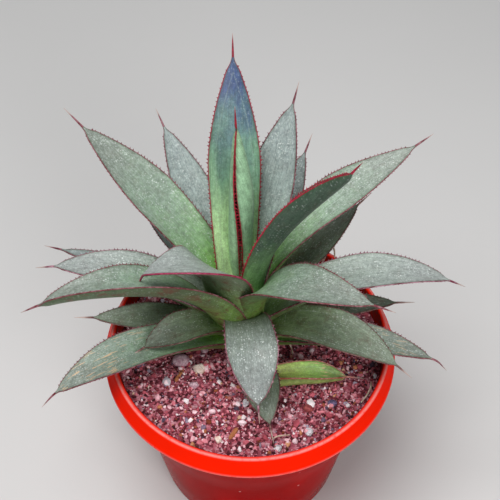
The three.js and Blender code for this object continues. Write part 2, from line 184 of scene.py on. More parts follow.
# ---- Materials ----
class Finish:
    """A material being built: adds nodes and joins them."""

    def __init__(self, name):
        self.material = bpy.data.materials.new(name)
        self.material.use_nodes = True
        self.tree = self.material.node_tree
        self.shader = self.tree.nodes["Principled BSDF"]

    def fill(self, socket, value):
        """Links another node's output to the socket, or sets a plain value on it."""
        if isinstance(value, bpy.types.NodeSocket):
            self.tree.links.new(value, socket)
        elif socket.type == "RGBA" and len(value) == 3:
            socket.default_value = (*value, 1)
        else:
            socket.default_value = value

    def node(self, kind, **inputs):
        """A new node with its inputs filled by name."""
        node = self.tree.nodes.new("ShaderNode" + kind)
        for name, value in inputs.items():
            self.fill(node.inputs[name.replace("_", " ")], value)
        return node

    def attribute(self, name):
        """A number that the mesh holds at each point."""
        node = self.node("Attribute")
        node.attribute_name = name
        return node.outputs["Fac"]

    def leaf_place(self, across, along):
        """Leaf coordinates in centimetres, stretched by a share each way."""
        node = self.node("UVMap")
        node.uv_map = "leaf"
        return self.node(
            "Mapping", Vector=node.outputs["UV"], Scale=(across, along, 1)).outputs["Vector"]

    def object_place(self, scale=(1, 1, 1)):
        """Object coordinates in metres, stretched by a share each way."""
        node = self.node("TexCoord")
        return self.node(
            "Mapping", Vector=node.outputs["Object"], Scale=scale).outputs["Vector"]

    def noise(self, place, scale, detail=3.0, roughness=0.55):
        """Soft clouds, from 0 to 1."""
        node = self.node(
            "TexNoise", Vector=place, Scale=scale, Detail=detail, Roughness=roughness)
        return node.outputs["Fac"]

    def cells(self, place, scale, feature="F1", dimensions="3D"):
        """Cells scattered at random, each with a colour of its own."""
        node = self.node("TexVoronoi", Vector=place, Scale=scale)
        node.feature = feature
        node.voronoi_dimensions = dimensions
        return node.outputs

    def channel(self, colour, name):
        """One part of a colour: a random number for each cell, when it is a cell's colour."""
        return self.node("SeparateColor", Color=colour).outputs[name]

    def spread(self, value, low, high, first=0.0, last=1.0):
        """Carries low..high smoothly to first..last."""
        node = self.node("MapRange", Value=value)
        node.interpolation_type = "SMOOTHSTEP"
        for name, number in (
                ("From Min", low), ("From Max", high), ("To Min", first), ("To Max", last)):
            node.inputs[name].default_value = number
        return node.outputs["Result"]

    def maths(self, operation, *values):
        """One step of arithmetic."""
        node = self.node("Math")
        node.operation = operation
        for socket, value in zip(node.inputs, values):
            self.fill(socket, value)
        return node.outputs["Value"]

    def plus(self, first, second):
        """The sum of two values."""
        return self.maths("ADD", first, second)

    def times(self, first, second):
        """The product of two values."""
        return self.maths("MULTIPLY", first, second)

    def ramp(self, value, stops):
        """Runs through colours at positions from 0 to 1."""
        node = self.node("ValToRGB", Fac=value)
        elements = node.color_ramp.elements
        while len(elements) < len(stops):
            elements.new(1)
        for element, (position, colour) in zip(elements, stops):
            element.position = position
            element.color = (*colour, 1)
        return node.outputs["Color"]

    def blend(self, share, first, second, kind="MIX"):
        """The first colour where the share is 0, and the second where it is 1."""
        node = self.tree.nodes.new("ShaderNodeMix")
        node.data_type = "RGBA"
        node.blend_type = kind
        share_socket, first_socket, second_socket = (node.inputs[place] for place in (0, 6, 7))
        self.fill(share_socket, share)
        self.fill(first_socket, first)
        self.fill(second_socket, second)
        return node.outputs[2]

    def bump(self, height, distance, strength=1.0):
        """Relief whose full height is a distance in metres."""
        node = self.node("Bump", Height=height, Distance=distance, Strength=strength)
        return node.outputs["Normal"]

    def done(self, colour, roughness, normal=None, specular=0.5, ior=1.45):
        """Fills the shader and hands over the finished material."""
        inputs = self.shader.inputs
        self.fill(inputs["Base Color"], colour)
        self.fill(inputs["Roughness"], roughness)
        inputs["Specular IOR Level"].default_value = specular
        inputs["IOR"].default_value = ior
        if normal is not None:
            self.fill(inputs["Normal"], normal)
        return self.material


# Leaf tones: colours at the foot, lower third, middle and tip of the upper face; of the lower
# face at the foot and beyond; of the horny edge and its paler patches; the shares of bloom,
# of stains on the upper and the lower face, and of specks; and where the spine dries, in
# millimetres past the blade's end.
PALE_TONE = dict(
    foot=(0.20, 0.34, 0.10), lower=(0.25, 0.32, 0.23), middle=(0.29, 0.34, 0.30),
    tip=(0.28, 0.30, 0.29), under_foot=(0.14, 0.22, 0.06), under=(0.12, 0.16, 0.09),
    horn=(0.15, 0.012, 0.034), horn_pale=(0.42, 0.22, 0.27), bloom=0.55, stain=0.10,
    under_stain=0.7, specks=0.9, dry=2.5)
LEAF_TONES = {
    "young": dict(
        # The young tone's foot and lower third are paler than their own green: painted light
        # against the crown's shade.
        foot=(0.66, 0.86, 0.44), lower=(0.42, 0.64, 0.30), middle=(0.19, 0.36, 0.22),
        tip=(0.050, 0.085, 0.200), under_foot=(0.30, 0.55, 0.20), under=(0.17, 0.32, 0.20),
        horn=(0.20, 0.006, 0.020), horn_pale=(0.34, 0.02, 0.05), bloom=0.10, stain=0.0,
        under_stain=0.0, specks=0.2, dry=6),
    "spear": dict(
        # The spear's upper face, inside its roll, is painted dark from the lower third to the tip:
        # painted shade within the roll.
        foot=(0.20, 0.38, 0.14), lower=(0.10, 0.16, 0.08), middle=(0.08, 0.05, 0.04),
        tip=(0.07, 0.03, 0.03), under_foot=(0.52, 0.78, 0.44), under=(0.30, 0.50, 0.30),
        horn=(0.22, 0.003, 0.014), horn_pale=(0.40, 0.01, 0.03), bloom=0.05, stain=0.0,
        under_stain=0.0, specks=0.1, dry=7),
    "inner": dict(
        foot=(0.30, 0.48, 0.16), lower=(0.16, 0.28, 0.14), middle=(0.14, 0.22, 0.16),
        tip=(0.12, 0.16, 0.14), under_foot=(0.26, 0.48, 0.18), under=(0.045, 0.080, 0.052),
        horn=(0.24, 0.003, 0.018), horn_pale=(0.50, 0.012, 0.06), bloom=0.12, stain=0.05,
        under_stain=0.1, specks=0.6, dry=6),
    "green": dict(
        foot=(0.22, 0.52, 0.05), lower=(0.22, 0.40, 0.17), middle=(0.20, 0.29, 0.20),
        tip=(0.19, 0.22, 0.18), under_foot=(0.18, 0.30, 0.06), under=(0.07, 0.11, 0.05),
        horn=(0.13, 0.010, 0.020), horn_pale=(0.30, 0.12, 0.14), bloom=0.40, stain=0.12,
        under_stain=0.8, specks=0.7, dry=5),
    "grey": dict(
        foot=(0.20, 0.36, 0.10), lower=(0.24, 0.33, 0.25), middle=(0.25, 0.31, 0.29),
        tip=(0.21, 0.25, 0.25), under_foot=(0.16, 0.27, 0.06), under=(0.07, 0.10, 0.05),
        horn=(0.11, 0.010, 0.022), horn_pale=(0.30, 0.13, 0.15), bloom=0.45, stain=0.10,
        under_stain=0.6, specks=0.8, dry=4),
    "pale": PALE_TONE,
    "blushed": {**PALE_TONE, "horn": (0.24, 0.006, 0.045), "horn_pale": (0.40, 0.05, 0.12)},
    "deep": dict(
        foot=(0.24, 0.42, 0.08), lower=(0.15, 0.22, 0.09), middle=(0.14, 0.19, 0.11),
        tip=(0.15, 0.18, 0.13), under_foot=(0.14, 0.22, 0.05), under=(0.08, 0.12, 0.05),
        horn=(0.09, 0.012, 0.016), horn_pale=(0.26, 0.14, 0.12), bloom=0.14, stain=0.35,
        under_stain=0.5, specks=0.6, dry=1.5),
    "fresh": dict(
        foot=(0.58, 0.62, 0.20), lower=(0.44, 0.58, 0.15), middle=(0.30, 0.50, 0.12),
        tip=(0.20, 0.32, 0.09), under_foot=(0.26, 0.34, 0.09), under=(0.26, 0.34, 0.09),
        horn=(0.34, 0.06, 0.05), horn_pale=(0.60, 0.28, 0.24), bloom=0.05, stain=0.25,
        under_stain=0.2, specks=0.3, dry=3),
}


def leaf_finish(name, tone, sizes):
    """Fleshy leaf: green foot, streaks, waxy bloom, specks, scars, stains and a red margin."""
    print_green = (0.42, 0.52, 0.42)
    print_inset = 3.6
    wax_white = (0.85, 0.90, 0.87)
    stain_brown = (0.12, 0.035, 0.022)
    scar_tan = (0.74, 0.50, 0.30)
    edge_green = (0.045, 0.075, 0.03)

    finish = Finish(name)
    along = finish.attribute("along")
    edge = finish.attribute("edge_mm")
    tip = finish.attribute("tip_mm")
    upper = finish.attribute("upper")

    # Colours from the foot to the tip, shifted here and there.
    cloud = finish.noise(finish.leaf_place(0.9, 0.35), 1.0, 4)
    shifted = finish.plus(along, finish.spread(cloud, 0.2, 0.8, -0.10, 0.10))
    face = finish.ramp(shifted, [
        (0.0, tone["foot"]), (0.28, tone["lower"]), (0.56, tone["middle"]), (0.84, tone["tip"])])
    under = finish.ramp(shifted, [
        (0.08, tone["under_foot"]), (0.45, tone["under"]), (1.0, tone["under"])])

    # Waxy bloom on the upper face, and the print that a neighbour left in it.
    bloom_cloud = finish.noise(finish.leaf_place(9, 6), 1.0, 9, 0.80)
    bloom_share = finish.times(finish.spread(bloom_cloud, 0.38, 0.62), tone["bloom"])
    bloom_share = finish.times(bloom_share, finish.spread(along, 0.08, 0.5))
    face = finish.blend(bloom_share, face, tuple(sizes.bloom))

    print_line = finish.maths("ABSOLUTE", finish.maths("SUBTRACT", edge, print_inset))
    print_share = finish.times(finish.spread(print_line, 0.0, 0.5, 0.35, 0.0), bloom_cloud)
    face = finish.blend(print_share, face, print_green)
    colour = finish.blend(upper, under, face)

    # Lengthwise streaks and blotches.
    streak = finish.noise(finish.leaf_place(30, 0.8), 1.0, 3)
    blotch = finish.noise(finish.leaf_place(3.4, 2.4), 1.0, 10, 0.95)
    shade = finish.times(
        finish.spread(streak, 0.3, 0.7, 0.82, 1.16), finish.spread(blotch, 0.36, 0.64, 0.58, 1.30))
    shade = finish.times(shade, finish.attribute("shade"))
    grey = finish.node("CombineColor", Red=shade, Green=shade, Blue=shade).outputs["Color"]
    colour = finish.blend(1.0, colour, grey, "MULTIPLY")

    # Fine specks and larger drops of wax, crowded in patches.
    speck = finish.times(leaf_specks(finish, 8.5, 0.12, 0.36, 0.50), 0.55)
    drop = finish.times(leaf_specks(finish, 3.0, 0.06, 0.15, 0.50), 0.8)
    speck = finish.times(finish.maths("MAXIMUM", speck, drop), tone["specks"])
    patch = finish.noise(finish.leaf_place(1.6, 0.9), 1.0, 3)
    speck = finish.times(speck, finish.spread(patch, 0.40, 0.62, 0.15, 1.0))
    speck = finish.times(speck, finish.spread(upper, 0.0, 1.0, 0.45, 1.0))
    colour = finish.blend(speck, colour, wax_white)

    # Brown stains, and tan scars toward the tip.
    stain_cloud = finish.noise(finish.leaf_place(1.3, 1.0), 1.3, 6, 0.75)
    stain_share = finish.spread(upper, 0.0, 1.0, tone["under_stain"], tone["stain"])
    stain = finish.times(finish.spread(stain_cloud, 0.50, 0.63), stain_share)
    colour = finish.blend(stain, colour, stain_brown)
    scar_cloud = finish.noise(finish.leaf_place(9, 1.1), 1.0, 3, 0.6)
    scar = finish.times(finish.spread(scar_cloud, 0.585, 0.61), finish.attribute("scarred"))
    scar = finish.times(scar, finish.spread(shifted, 0.45, 0.65))
    colour = finish.blend(scar, colour, scar_tan)

    # A darker edge, red at the very margin and at the foot of the spine.
    wavy_edge = finish.plus(edge, finish.spread(blotch, 0.3, 0.7, -0.25, 0.25))
    colour = finish.blend(finish.spread(wavy_edge, 0.3, 1.5, 0.4, 0.0), colour, edge_green)
    colour = finish.blend(finish.spread(wavy_edge, 0.0, 0.36, 0.9, 0.0), colour, tone["horn"])
    colour = finish.blend(finish.spread(tip, 0.0, 2.2, 0.8, 0.0), colour, tone["horn"])

    pits = finish.noise(finish.leaf_place(1, 1), 22, 2)
    height = finish.plus(finish.times(streak, 0.5), finish.times(pits, 0.5))
    roughness = finish.spread(bloom_cloud, 0.3, 0.7, 0.34, 0.52)
    return finish.done(colour, roughness, finish.bump(height, 0.0002, 0.6), specular=0.45)


def leaf_specks(finish, density, core, halo, rarity):
    """Small round marks: about density per centimetre, most of them left out."""
    dots = finish.cells(finish.leaf_place(1, 1), density, dimensions="2D")
    chance = finish.channel(dots["Color"], "Red")
    return finish.times(
        finish.spread(dots["Distance"], core, halo, 1.0, 0.0),
        finish.spread(chance, rarity, rarity + 0.15))


def horn_finish(name, tone, sizes):
    """Horny margin, teeth and spine: red with paler patches, drying toward the spine's end."""
    finish = Finish(name)
    tip = finish.attribute("tip_mm")
    grain = finish.noise(finish.object_place(), 420, 4, 0.65)
    red = finish.blend(finish.spread(grain, 0.40, 0.62), tone["horn"], tone["horn_pale"])
    dry_from = finish.plus(tip, finish.times(grain, 2.0))
    dry = finish.spread(dry_from, -tone["dry"] - 2, -tone["dry"] + 1.5, 1.0, 0.0)
    colour = finish.blend(dry, red, tuple(sizes.spine_tip))
    return finish.done(colour, 0.42, finish.bump(grain, 0.0001, 0.5))


def stem_finish(name):
    """Pale stem with the rings of old leaf feet."""
    finish = Finish(name)
    ring = finish.noise(finish.object_place((30, 30, 260)), 1.0, 4)
    colour = finish.ramp(ring, [
        (0.3, (0.20, 0.22, 0.08)), (0.55, (0.36, 0.40, 0.17)), (0.8, (0.28, 0.18, 0.08))])
    return finish.done(colour, 0.7, finish.bump(ring, 0.0006))


def plastic_finish(name, sizes):
    """Red plastic, painted a deeper red on the body and inside for shade, with dust, scuffs,
    painted highlights along the rim's edges and soil stains inside.
    """
    faded_rim = (0.85, 0.012, 0.001)
    shaded_body = (0.30, 0.0, 0.0)
    shaded_inside = (0.17, 0.006, 0.004)
    soil_stain = (0.10, 0.035, 0.03)

    finish = Finish(name)
    place = finish.object_place()
    painted_edge_highlight = finish.attribute("painted_edge_highlight")
    inside = finish.attribute("inside")
    cloud = finish.noise(place, 28, 4)
    fine = finish.noise(place, 420, 4, 0.7)
    colour = finish.blend(
        finish.spread(cloud, 0.3, 0.7, 0.0, 0.5), tuple(sizes.plastic), faded_rim)
    # Painted shade: the body below the band is a deeper red than the rim.
    deep = finish.blend(finish.spread(cloud, 0.3, 0.7), tuple(sizes.body), shaded_body)
    colour = finish.blend(finish.attribute("body"), colour, deep)

    # Specks of dust, scuffs, and painted highlights along the rim's top edge and the band's lower
    # edge.
    dots = finish.cells(place, 190)
    chance = finish.channel(dots["Color"], "Red")
    speck = finish.times(
        finish.spread(dots["Distance"], 0.06, 0.15, 1.0, 0.0), finish.spread(chance, 0.90, 0.93))
    scuff = finish.noise(finish.object_place((260, 260, 1500)), 1.0, 2)
    rubbed = finish.times(finish.spread(scuff, 0.64, 0.76), finish.spread(cloud, 0.50, 0.7))
    dust_and_highlight_share = finish.maths("MAXIMUM", finish.times(speck, 0.6), finish.times(rubbed, 0.05))
    # Painted highlight: a pale line along the rim's top edge and the band's lower edge.
    edge_highlight = finish.times(finish.spread(fine, 0.25, 0.55, 0.35, 1.0), painted_edge_highlight)
    dust_and_highlight_share = finish.maths("MAXIMUM", dust_and_highlight_share, edge_highlight)
    colour = finish.blend(dust_and_highlight_share, colour, tuple(sizes.dust_and_highlight))

    # The inner wall: in shade, and stained by the soil.
    dirt = finish.times(finish.spread(fine, 0.42, 0.60), inside)
    colour = finish.blend(inside, colour, shaded_inside)
    colour = finish.blend(dirt, colour, soil_stain)
    roughness = finish.plus(
        finish.spread(fine, 0.3, 0.7, 0.18, 0.26), finish.times(dust_and_highlight_share, 0.4))
    return finish.done(colour, roughness, finish.bump(cloud, 0.00010), specular=0.1, ior=1.12)


def soil_finish(name, sizes):
    """Reddish-purple mix of bark, pumice dust and grit."""
    finish = Finish(name)
    place = finish.object_place()
    crumbs = finish.cells(place, 700)
    tone = finish.channel(crumbs["Color"], "Green")
    cloud = finish.noise(place, 60, 5, 0.7)
    mixed = finish.plus(finish.times(tone, 0.65), finish.times(cloud, 0.35))
    colour = finish.ramp(mixed, [
        (0.15, tuple(sizes.dark)), (0.36, (0.18, 0.030, 0.046)), (0.54, (0.46, 0.110, 0.150)),
        (0.76, (0.62, 0.27, 0.32)), (0.92, tuple(sizes.pale))])
    height = finish.plus(crumbs["Distance"], cloud)
    return finish.done(colour, 0.95, finish.bump(height, 0.0010), specular=0.2)


def grit_finish(name, sizes):
    """Loose grains of pumice, bark and grit, each with its own tone and hue."""
    finish = Finish(name)
    tone = finish.attribute("grain_tone")
    hue = finish.attribute("grain_hue")
    fine = finish.noise(finish.object_place(), 2200, 3)
    shifted = finish.plus(tone, finish.spread(fine, 0.3, 0.7, -0.07, 0.07))
    pink = finish.ramp(shifted, [
        (0.0, tuple(sizes.dark)), (0.16, (0.17, 0.024, 0.034)), (0.36, (0.54, 0.105, 0.140)),
        (0.56, (0.86, 0.28, 0.34)), (0.76, (0.96, 0.58, 0.64)), (1.0, (0.98, 0.90, 0.92))])
    brown = finish.ramp(shifted, [
        (0.0, (0.03, 0.008, 0.006)), (0.4, (0.26, 0.055, 0.025)), (0.75, (0.62, 0.24, 0.11)),
        (1.0, (0.85, 0.62, 0.42))])
    lilac = finish.ramp(shifted, [
        (0.0, (0.03, 0.02, 0.035)), (0.4, (0.20, 0.13, 0.20)), (0.75, (0.50, 0.42, 0.52)),
        (1.0, (0.92, 0.90, 0.95))])
    colour = finish.blend(finish.spread(hue, 0.74, 0.78), pink, brown)
    colour = finish.blend(finish.spread(hue, 0.87, 0.90), colour, lilac)
    return finish.done(colour, 0.85, finish.bump(fine, 0.0002), specular=0.3)


STONE_COLOURS = {
    "stone_pink": ((0.46, 0.24, 0.30), (0.78, 0.56, 0.62)),
    "stone_cream": ((0.78, 0.56, 0.46), (0.98, 0.84, 0.74)),
    "stone_white": ((0.52, 0.46, 0.52), (0.90, 0.86, 0.88)),
    "stone_red": ((0.22, 0.040, 0.045), (0.50, 0.12, 0.11)),
    "stone_dark": ((0.045, 0.035, 0.080), (0.20, 0.15, 0.28)),
}


def stone_finish(name, first, second):
    """Mottled stone with fine cracks and pits."""
    finish = Finish(name)
    place = finish.object_place()
    cloud = finish.noise(place, 420, 6, 0.7)
    crack = finish.cells(place, 330, "DISTANCE_TO_EDGE")["Distance"]
    colour = finish.blend(finish.spread(cloud, 0.36, 0.62), first, second)
    vein = finish.times(finish.spread(crack, 0.0, 0.06, 0.7, 0.0), finish.spread(cloud, 0.4, 0.6))
    colour = finish.blend(vein, colour, tuple(0.35 * part for part in first))
    height = finish.maths("SUBTRACT", cloud, finish.times(vein, 0.6))
    return finish.done(colour, 0.8, finish.bump(height, 0.0005), specular=0.3)


def bark_finish(name):
    """Torn orange-brown bark with lengthwise fibres."""
    finish = Finish(name)
    fibre = finish.noise(finish.leaf_place(30, 2), 1.0, 4, 0.7)
    colour = finish.ramp(fibre, [
        (0.3, (0.16, 0.045, 0.02)), (0.5, (0.45, 0.15, 0.06)), (0.75, (0.62, 0.32, 0.16))])
    return finish.done(colour, 0.9, finish.bump(fibre, 0.0004), specular=0.2)


def fibre_finish(name):
    """Dry straw-coloured fibre."""
    finish = Finish(name)
    streak = finish.noise(finish.object_place(), 700, 3)
    colour = finish.ramp(streak, [(0.3, (0.30, 0.19, 0.12)), (0.7, (0.72, 0.60, 0.48))])
    return finish.done(colour, 0.8, finish.bump(streak, 0.0001))


def floor_finish(name, colour):
    """Plain pale floor."""
    finish = Finish(name)
    cloud = finish.noise(finish.object_place(), 6, 4)
    darker = tuple(0.96 * part for part in colour)
    tint = finish.blend(cloud, colour, darker)
    return finish.done(tint, 0.8, finish.bump(cloud, 0.0005), specular=0.2)


# ---- Meshes ----
def make_piece(name, points, faces, finishes, face_finish=None, smooth=True):
    """A mesh object from points in millimetres."""
    mesh = bpy.data.meshes.new(name)
    mesh.from_pydata((np.asarray(points) * MM).tolist(), [], faces)
    for finish in finishes:
        mesh.materials.append(finish)
    if face_finish is not None:
        mesh.polygons.foreach_set("material_index", np.asarray(face_finish, np.int32))
    mesh.polygons.foreach_set("use_smooth", np.full(len(mesh.polygons), smooth))
    mesh.update()
    piece = bpy.data.objects.new(name, mesh)
    bpy.context.scene.collection.objects.link(piece)
    return piece


def add_numbers(piece, name, values):
    """One number for each point, for the materials to read."""
    layer = piece.data.attributes.new(name, "FLOAT", "POINT")
    layer.data.foreach_set("value", np.asarray(values, np.float32))


def add_leaf_place(piece, places):
    """Flat coordinates for each point, in centimetres, as a UV map."""
    mesh = piece.data
    layer = mesh.uv_layers.new(name="leaf")
    corners = np.zeros(len(mesh.loops), np.int32)
    mesh.loops.foreach_get("vertex_index", corners)
    layer.data.foreach_set("uv", np.asarray(places, np.float32)[corners].ravel())


def stand_for(piece, node):
    """The piece stands in for its solid node, which is hidden, and is attached to the body."""
    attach(piece, BODY)
    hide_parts(node)


def even_angles(count):
    """Angles evenly round a circle, from 0."""
    return np.arange(count) * 2 * math.pi / count


def ring_faces(first, count, rows):
    """Four-sided faces between neighbouring closed rings of points."""
    faces = []
    for row in range(rows - 1):
        for step in range(count):
            after = (step + 1) % count
            low = first + row * count
            faces.append((low + step, low + after, low + count + after, low + count + step))
    return faces


def closed_rings(count, rows):
    """Faces of a row of rings that is closed at both ends."""
    end = count * rows
    caps = [tuple(reversed(range(count))), tuple(range(end - count, end))]
    return ring_faces(0, count, rows) + caps


def unit_ball(subdivisions):
    """Points and three-sided faces of a ball whose radius is 1."""
    ball = bmesh.new()
    bmesh.ops.create_icosphere(ball, subdivisions=subdivisions, radius=1)
    points = np.array([point.co[:] for point in ball.verts])
    faces = np.array([[point.index for point in face.verts] for face in ball.faces])
    ball.free()
    return points, faces


# ---- Pot ----
POT_SEGMENTS = 144
# The side: how far it stands out past the foot, and at what height.
SIDE = [(3.8, 26), (7.5, 52)]
# Rounded corners, as steps out and up from the sharp corner.
FOOT_ROUND = [(-4.2, 0.05), (-1.2, 0), (-0.35, 0.35), (0, 1.2)]
STEP_ROUND = [(0, -2.5), (0.3, -2.2)]
SHOULDER_ROUND = [(-0.4, -0.3), (0, 0), (0.1, 0.6)]
HEM_ROUND = [(-0.7, -0.25), (-0.3, -0.15), (0, 0.4), (-0.1, 1.3), (-0.5, 1.8)]
TOP_ROUND = [(1.3, -2.0), (0.75, -0.8), (0.45, -0.25), (0, 0)]
LIP_ROUND = [(0, 0), (-0.6, -0.25)]
LIP_FOOT = [(0.15, -0.9)]
INNER_SHOULDER = [(0, 0.8)]
INNER_STEP = [(0, -1.8)]
FLOOR_ROUND = [(-2.6, 0)]
# How far the inner wall stands in from the rim's top edge, in wall thicknesses.
LIP_WALLS = 2.2
DRILL_SEGMENTS = 24
# Shares of the painted highlight on the edges and of painted shade and stain inside. The painted
# highlight on the lip and the hem spreads over these widths and within these distances of the
# rim's top and outer edge.
EDGE_HIGHLIGHT = 0.4
INSIDE_SHADE_AND_STAIN = 0.75
LIP_WIDTH = 1.2
LIP_DEPTH = 0.6
HEM_WIDTH = 1.0
HEM_DEPTH = 0.4
HEM_MIDDLE = 0.6
# The body's painted shade starts so far below the band, and the inside's painted shade and stain
# reach so far past the wall.
BODY_SHADE_BELOW = 1
INSIDE_LAYER = 0.3


def around(radius, height, steps):
    """Outline points round a sharp corner."""
    return [(radius + out, height + up) for out, up in steps]


def pot_profile(sizes):
    """Outer and inner outline of the wall, as [radius, height] in millimetres."""
    wall = sizes.wall / MM
    foot = sizes.foot_radius / MM
    floor = sizes.floor / MM
    top = RIM_RADIUS - sizes.skirt_flare / MM
    skirt = POT_HEIGHT - sizes.skirt_height / MM
    shoulder_height = POT_HEIGHT - sizes.shoulder_drop / MM
    shoulder = top - sizes.shoulder_inset / MM
    ledge = shoulder - sizes.shoulder_step / MM
    lip = top - LIP_WALLS * wall
    outer = [
        (0, 0), (foot / 2, 0), *around(foot, 0, FOOT_ROUND + SIDE),
        *around(ledge, shoulder_height, STEP_ROUND),
        *around(shoulder, shoulder_height, SHOULDER_ROUND),
        (top - wall, POT_HEIGHT - 2 * wall), (RIM_RADIUS - wall, skirt),
        *around(RIM_RADIUS, skirt, HEM_ROUND), *around(top, POT_HEIGHT, TOP_ROUND)]
    inner = [
        *around(top - wall, POT_HEIGHT, LIP_ROUND), *around(lip, POT_HEIGHT, LIP_FOOT),
        (lip, POT_HEIGHT - 2 * wall),
        *around(shoulder - wall, shoulder_height, INNER_SHOULDER),
        *around(ledge - wall, shoulder_height, INNER_STEP), (foot - wall, floor + wall),
        *around(foot, floor, FLOOR_ROUND), (foot / 2, floor), (0, floor)]
    return outer, inner


def inner_radius(sizes, height):
    """Radius of the pot's inner wall at a height."""
    _, inner = pot_profile(sizes)
    wall = sorted((level, radius) for radius, level in inner[3:7])
    return np.interp(height, [level for level, _ in wall], [radius for _, radius in wall])


def turned(pairs, segments):
    """Points and faces of a body turned about Z from pairs that start and end on the axis."""
    middle = pairs[1:-1]
    points = [(0, 0, pairs[0][1])]
    for radius, height in middle:
        for angle in even_angles(segments):
            points.append((radius * math.cos(angle), radius * math.sin(angle), height))
    points.append((0, 0, pairs[-1][1]))
    faces = ring_faces(1, segments, len(middle))
    end = len(points) - 1
    last = end - segments
    for step in range(segments):
        after = (step + 1) % segments
        faces.append((0, 1 + after, 1 + step))
        faces.append((end, last + step, last + after))
    return np.array(points), faces


def drill(piece, radius, reach, count, depth):
    """Cuts a circle of round holes through the floor of a turned piece."""
    drills = bmesh.new()
    for number in range(count):
        angle = (number + 0.5) * 2 * math.pi / count
        place = Vector((reach * math.cos(angle), reach * math.sin(angle), 0)) * MM
        bmesh.ops.create_cone(
            drills, cap_ends=True, segments=DRILL_SEGMENTS, radius1=radius * MM,
            radius2=radius * MM, depth=depth * MM, matrix=Matrix.Translation(place))
    mesh = bpy.data.meshes.new("drills")
    drills.to_mesh(mesh)
    drills.free()
    cutter = bpy.data.objects.new("drills", mesh)
    bpy.context.scene.collection.objects.link(cutter)
    cut = piece.modifiers.new("holes", "BOOLEAN")
    cut.operation = "DIFFERENCE"
    cut.solver = "EXACT"
    cut.object = cutter
    graph = bpy.context.evaluated_depsgraph_get()
    result = bpy.data.meshes.new_from_object(piece.evaluated_get(graph))
    piece.modifiers.remove(cut)
    piece.data = result
    bpy.data.objects.remove(cutter)


def near(values, middle, reach):
    """1 at the middle value, falling to 0 at a distance of reach."""
    return np.clip(1 - np.abs(values - middle) / reach, 0, 1)


def add_pot_light_and_stain(pot, sizes):
    """Where the painted highlights lie on the rim's edges, where the body's painted shade lies and
    where the inside's painted shade and stain lie.
    """
    places = np.zeros(len(pot.data.vertices) * 3)
    pot.data.vertices.foreach_get("co", places)
    x, y, height = (places.reshape(-1, 3) / MM).T
    reach = np.hypot(x, y)
    top = RIM_RADIUS - sizes.skirt_flare / MM
    skirt = POT_HEIGHT - sizes.skirt_height / MM
    # Painted highlights along the lip and along the band's lower edge, the hem.
    lip = near(reach, top, LIP_WIDTH) * (height > POT_HEIGHT - LIP_DEPTH)
    hem = near(height, skirt + HEM_MIDDLE, HEM_WIDTH) * (reach > RIM_RADIUS - HEM_DEPTH)
    within = (reach < inner_radius(sizes, height) + INSIDE_LAYER) & (height > sizes.floor / MM)
    add_numbers(pot, "painted_edge_highlight", EDGE_HIGHLIGHT * np.maximum(lip, hem))
    # Painted shade on the body below the band.
    add_numbers(pot, "body", height < skirt - BODY_SHADE_BELOW)
    # Painted shade and soil stain on the inner wall.
    add_numbers(pot, "inside", INSIDE_SHADE_AND_STAIN * within)


class AGAVE_OT_pot(bpy.types.Operator):
    """Makes the red nursery pot"""

    bl_idname = "agave.pot"
    bl_label = "Pot"

    def execute(self, context):
        sizes = context.scene.agave_pot
        outer, inner = pot_profile(sizes)
        points, faces = turned(outer + inner, POT_SEGMENTS)
        pot = make_piece("nursery_pot", points, faces, [plastic_finish("red plastic", sizes)])
        foot = sizes.foot_radius / MM
        radius = sizes.drain_radius / MM
        drill(pot, radius, foot - 2 * radius, sizes.drain_holes, 6 * sizes.floor / MM)
        add_pot_light_and_stain(pot, sizes)
        stand_for(pot, "pot")
        return {"FINISHED"}


# ---- Soil ----
SOIL_RINGS = 110
SOIL_SPOKES = 260
# Sizes of the lumps and how far they rise.
LUMPS = ((6.0, 0.55), (2.6, 0.45), (1.3, 0.30))
# Gaps that keep the bed clear of the pot, the width over which its unevenness fades there, and
# the radius of its innermost ring.
BED_GAP = 0.3
BED_EDGE_GAP = 0.1
BED_SIDE_GAP = 0.5
BED_FOOT_GAP = 1.8
BED_FADE = 3
BED_MIDDLE = 0.8
GRIT_INSET = 1.0
GRIT_SEEDS = {"coarse": 4, "large": 11, "fine": 7}
# Grains: how widely their sizes scatter and within what shares of the typical size, how each
# is stretched along its axes and jagged from point to point, how high it stands as a share of
# its size, and the shape of the scatter of tones.
GRAIN_SCATTER = 0.33
GRAIN_RANGE = (0.45, 2.4)
GRAIN_STRETCH = (0.45, 1.35)
GRAIN_JAG = (0.72, 1.18)
GRAIN_RISE = 0.18
GRAIN_TONES = (1.15, 1.55)
# Grains larger than a share of the typical size are a little paler.
LARGE_GRAIN = 1.4
LARGE_PALER = 0.1


def soil_level(scene):
    """Height of the soil."""
    return POT_HEIGHT - scene.agave_soil.below_rim / MM


def soil_bump(x, y):
    """The soil's broad unevenness, the same as the solid's."""
    return 0.5 * np.sin(x / 9 + 1) * np.cos(y / 11) + 0.35 * np.sin((x + 2 * y) / 7)


def crumble(x, y):
    """Small lumps of the soil's surface."""
    total = 0.0
    for size, rise in LUMPS:
        total += rise * noise.noise(Vector((x / size, y / size, size)))
    return total


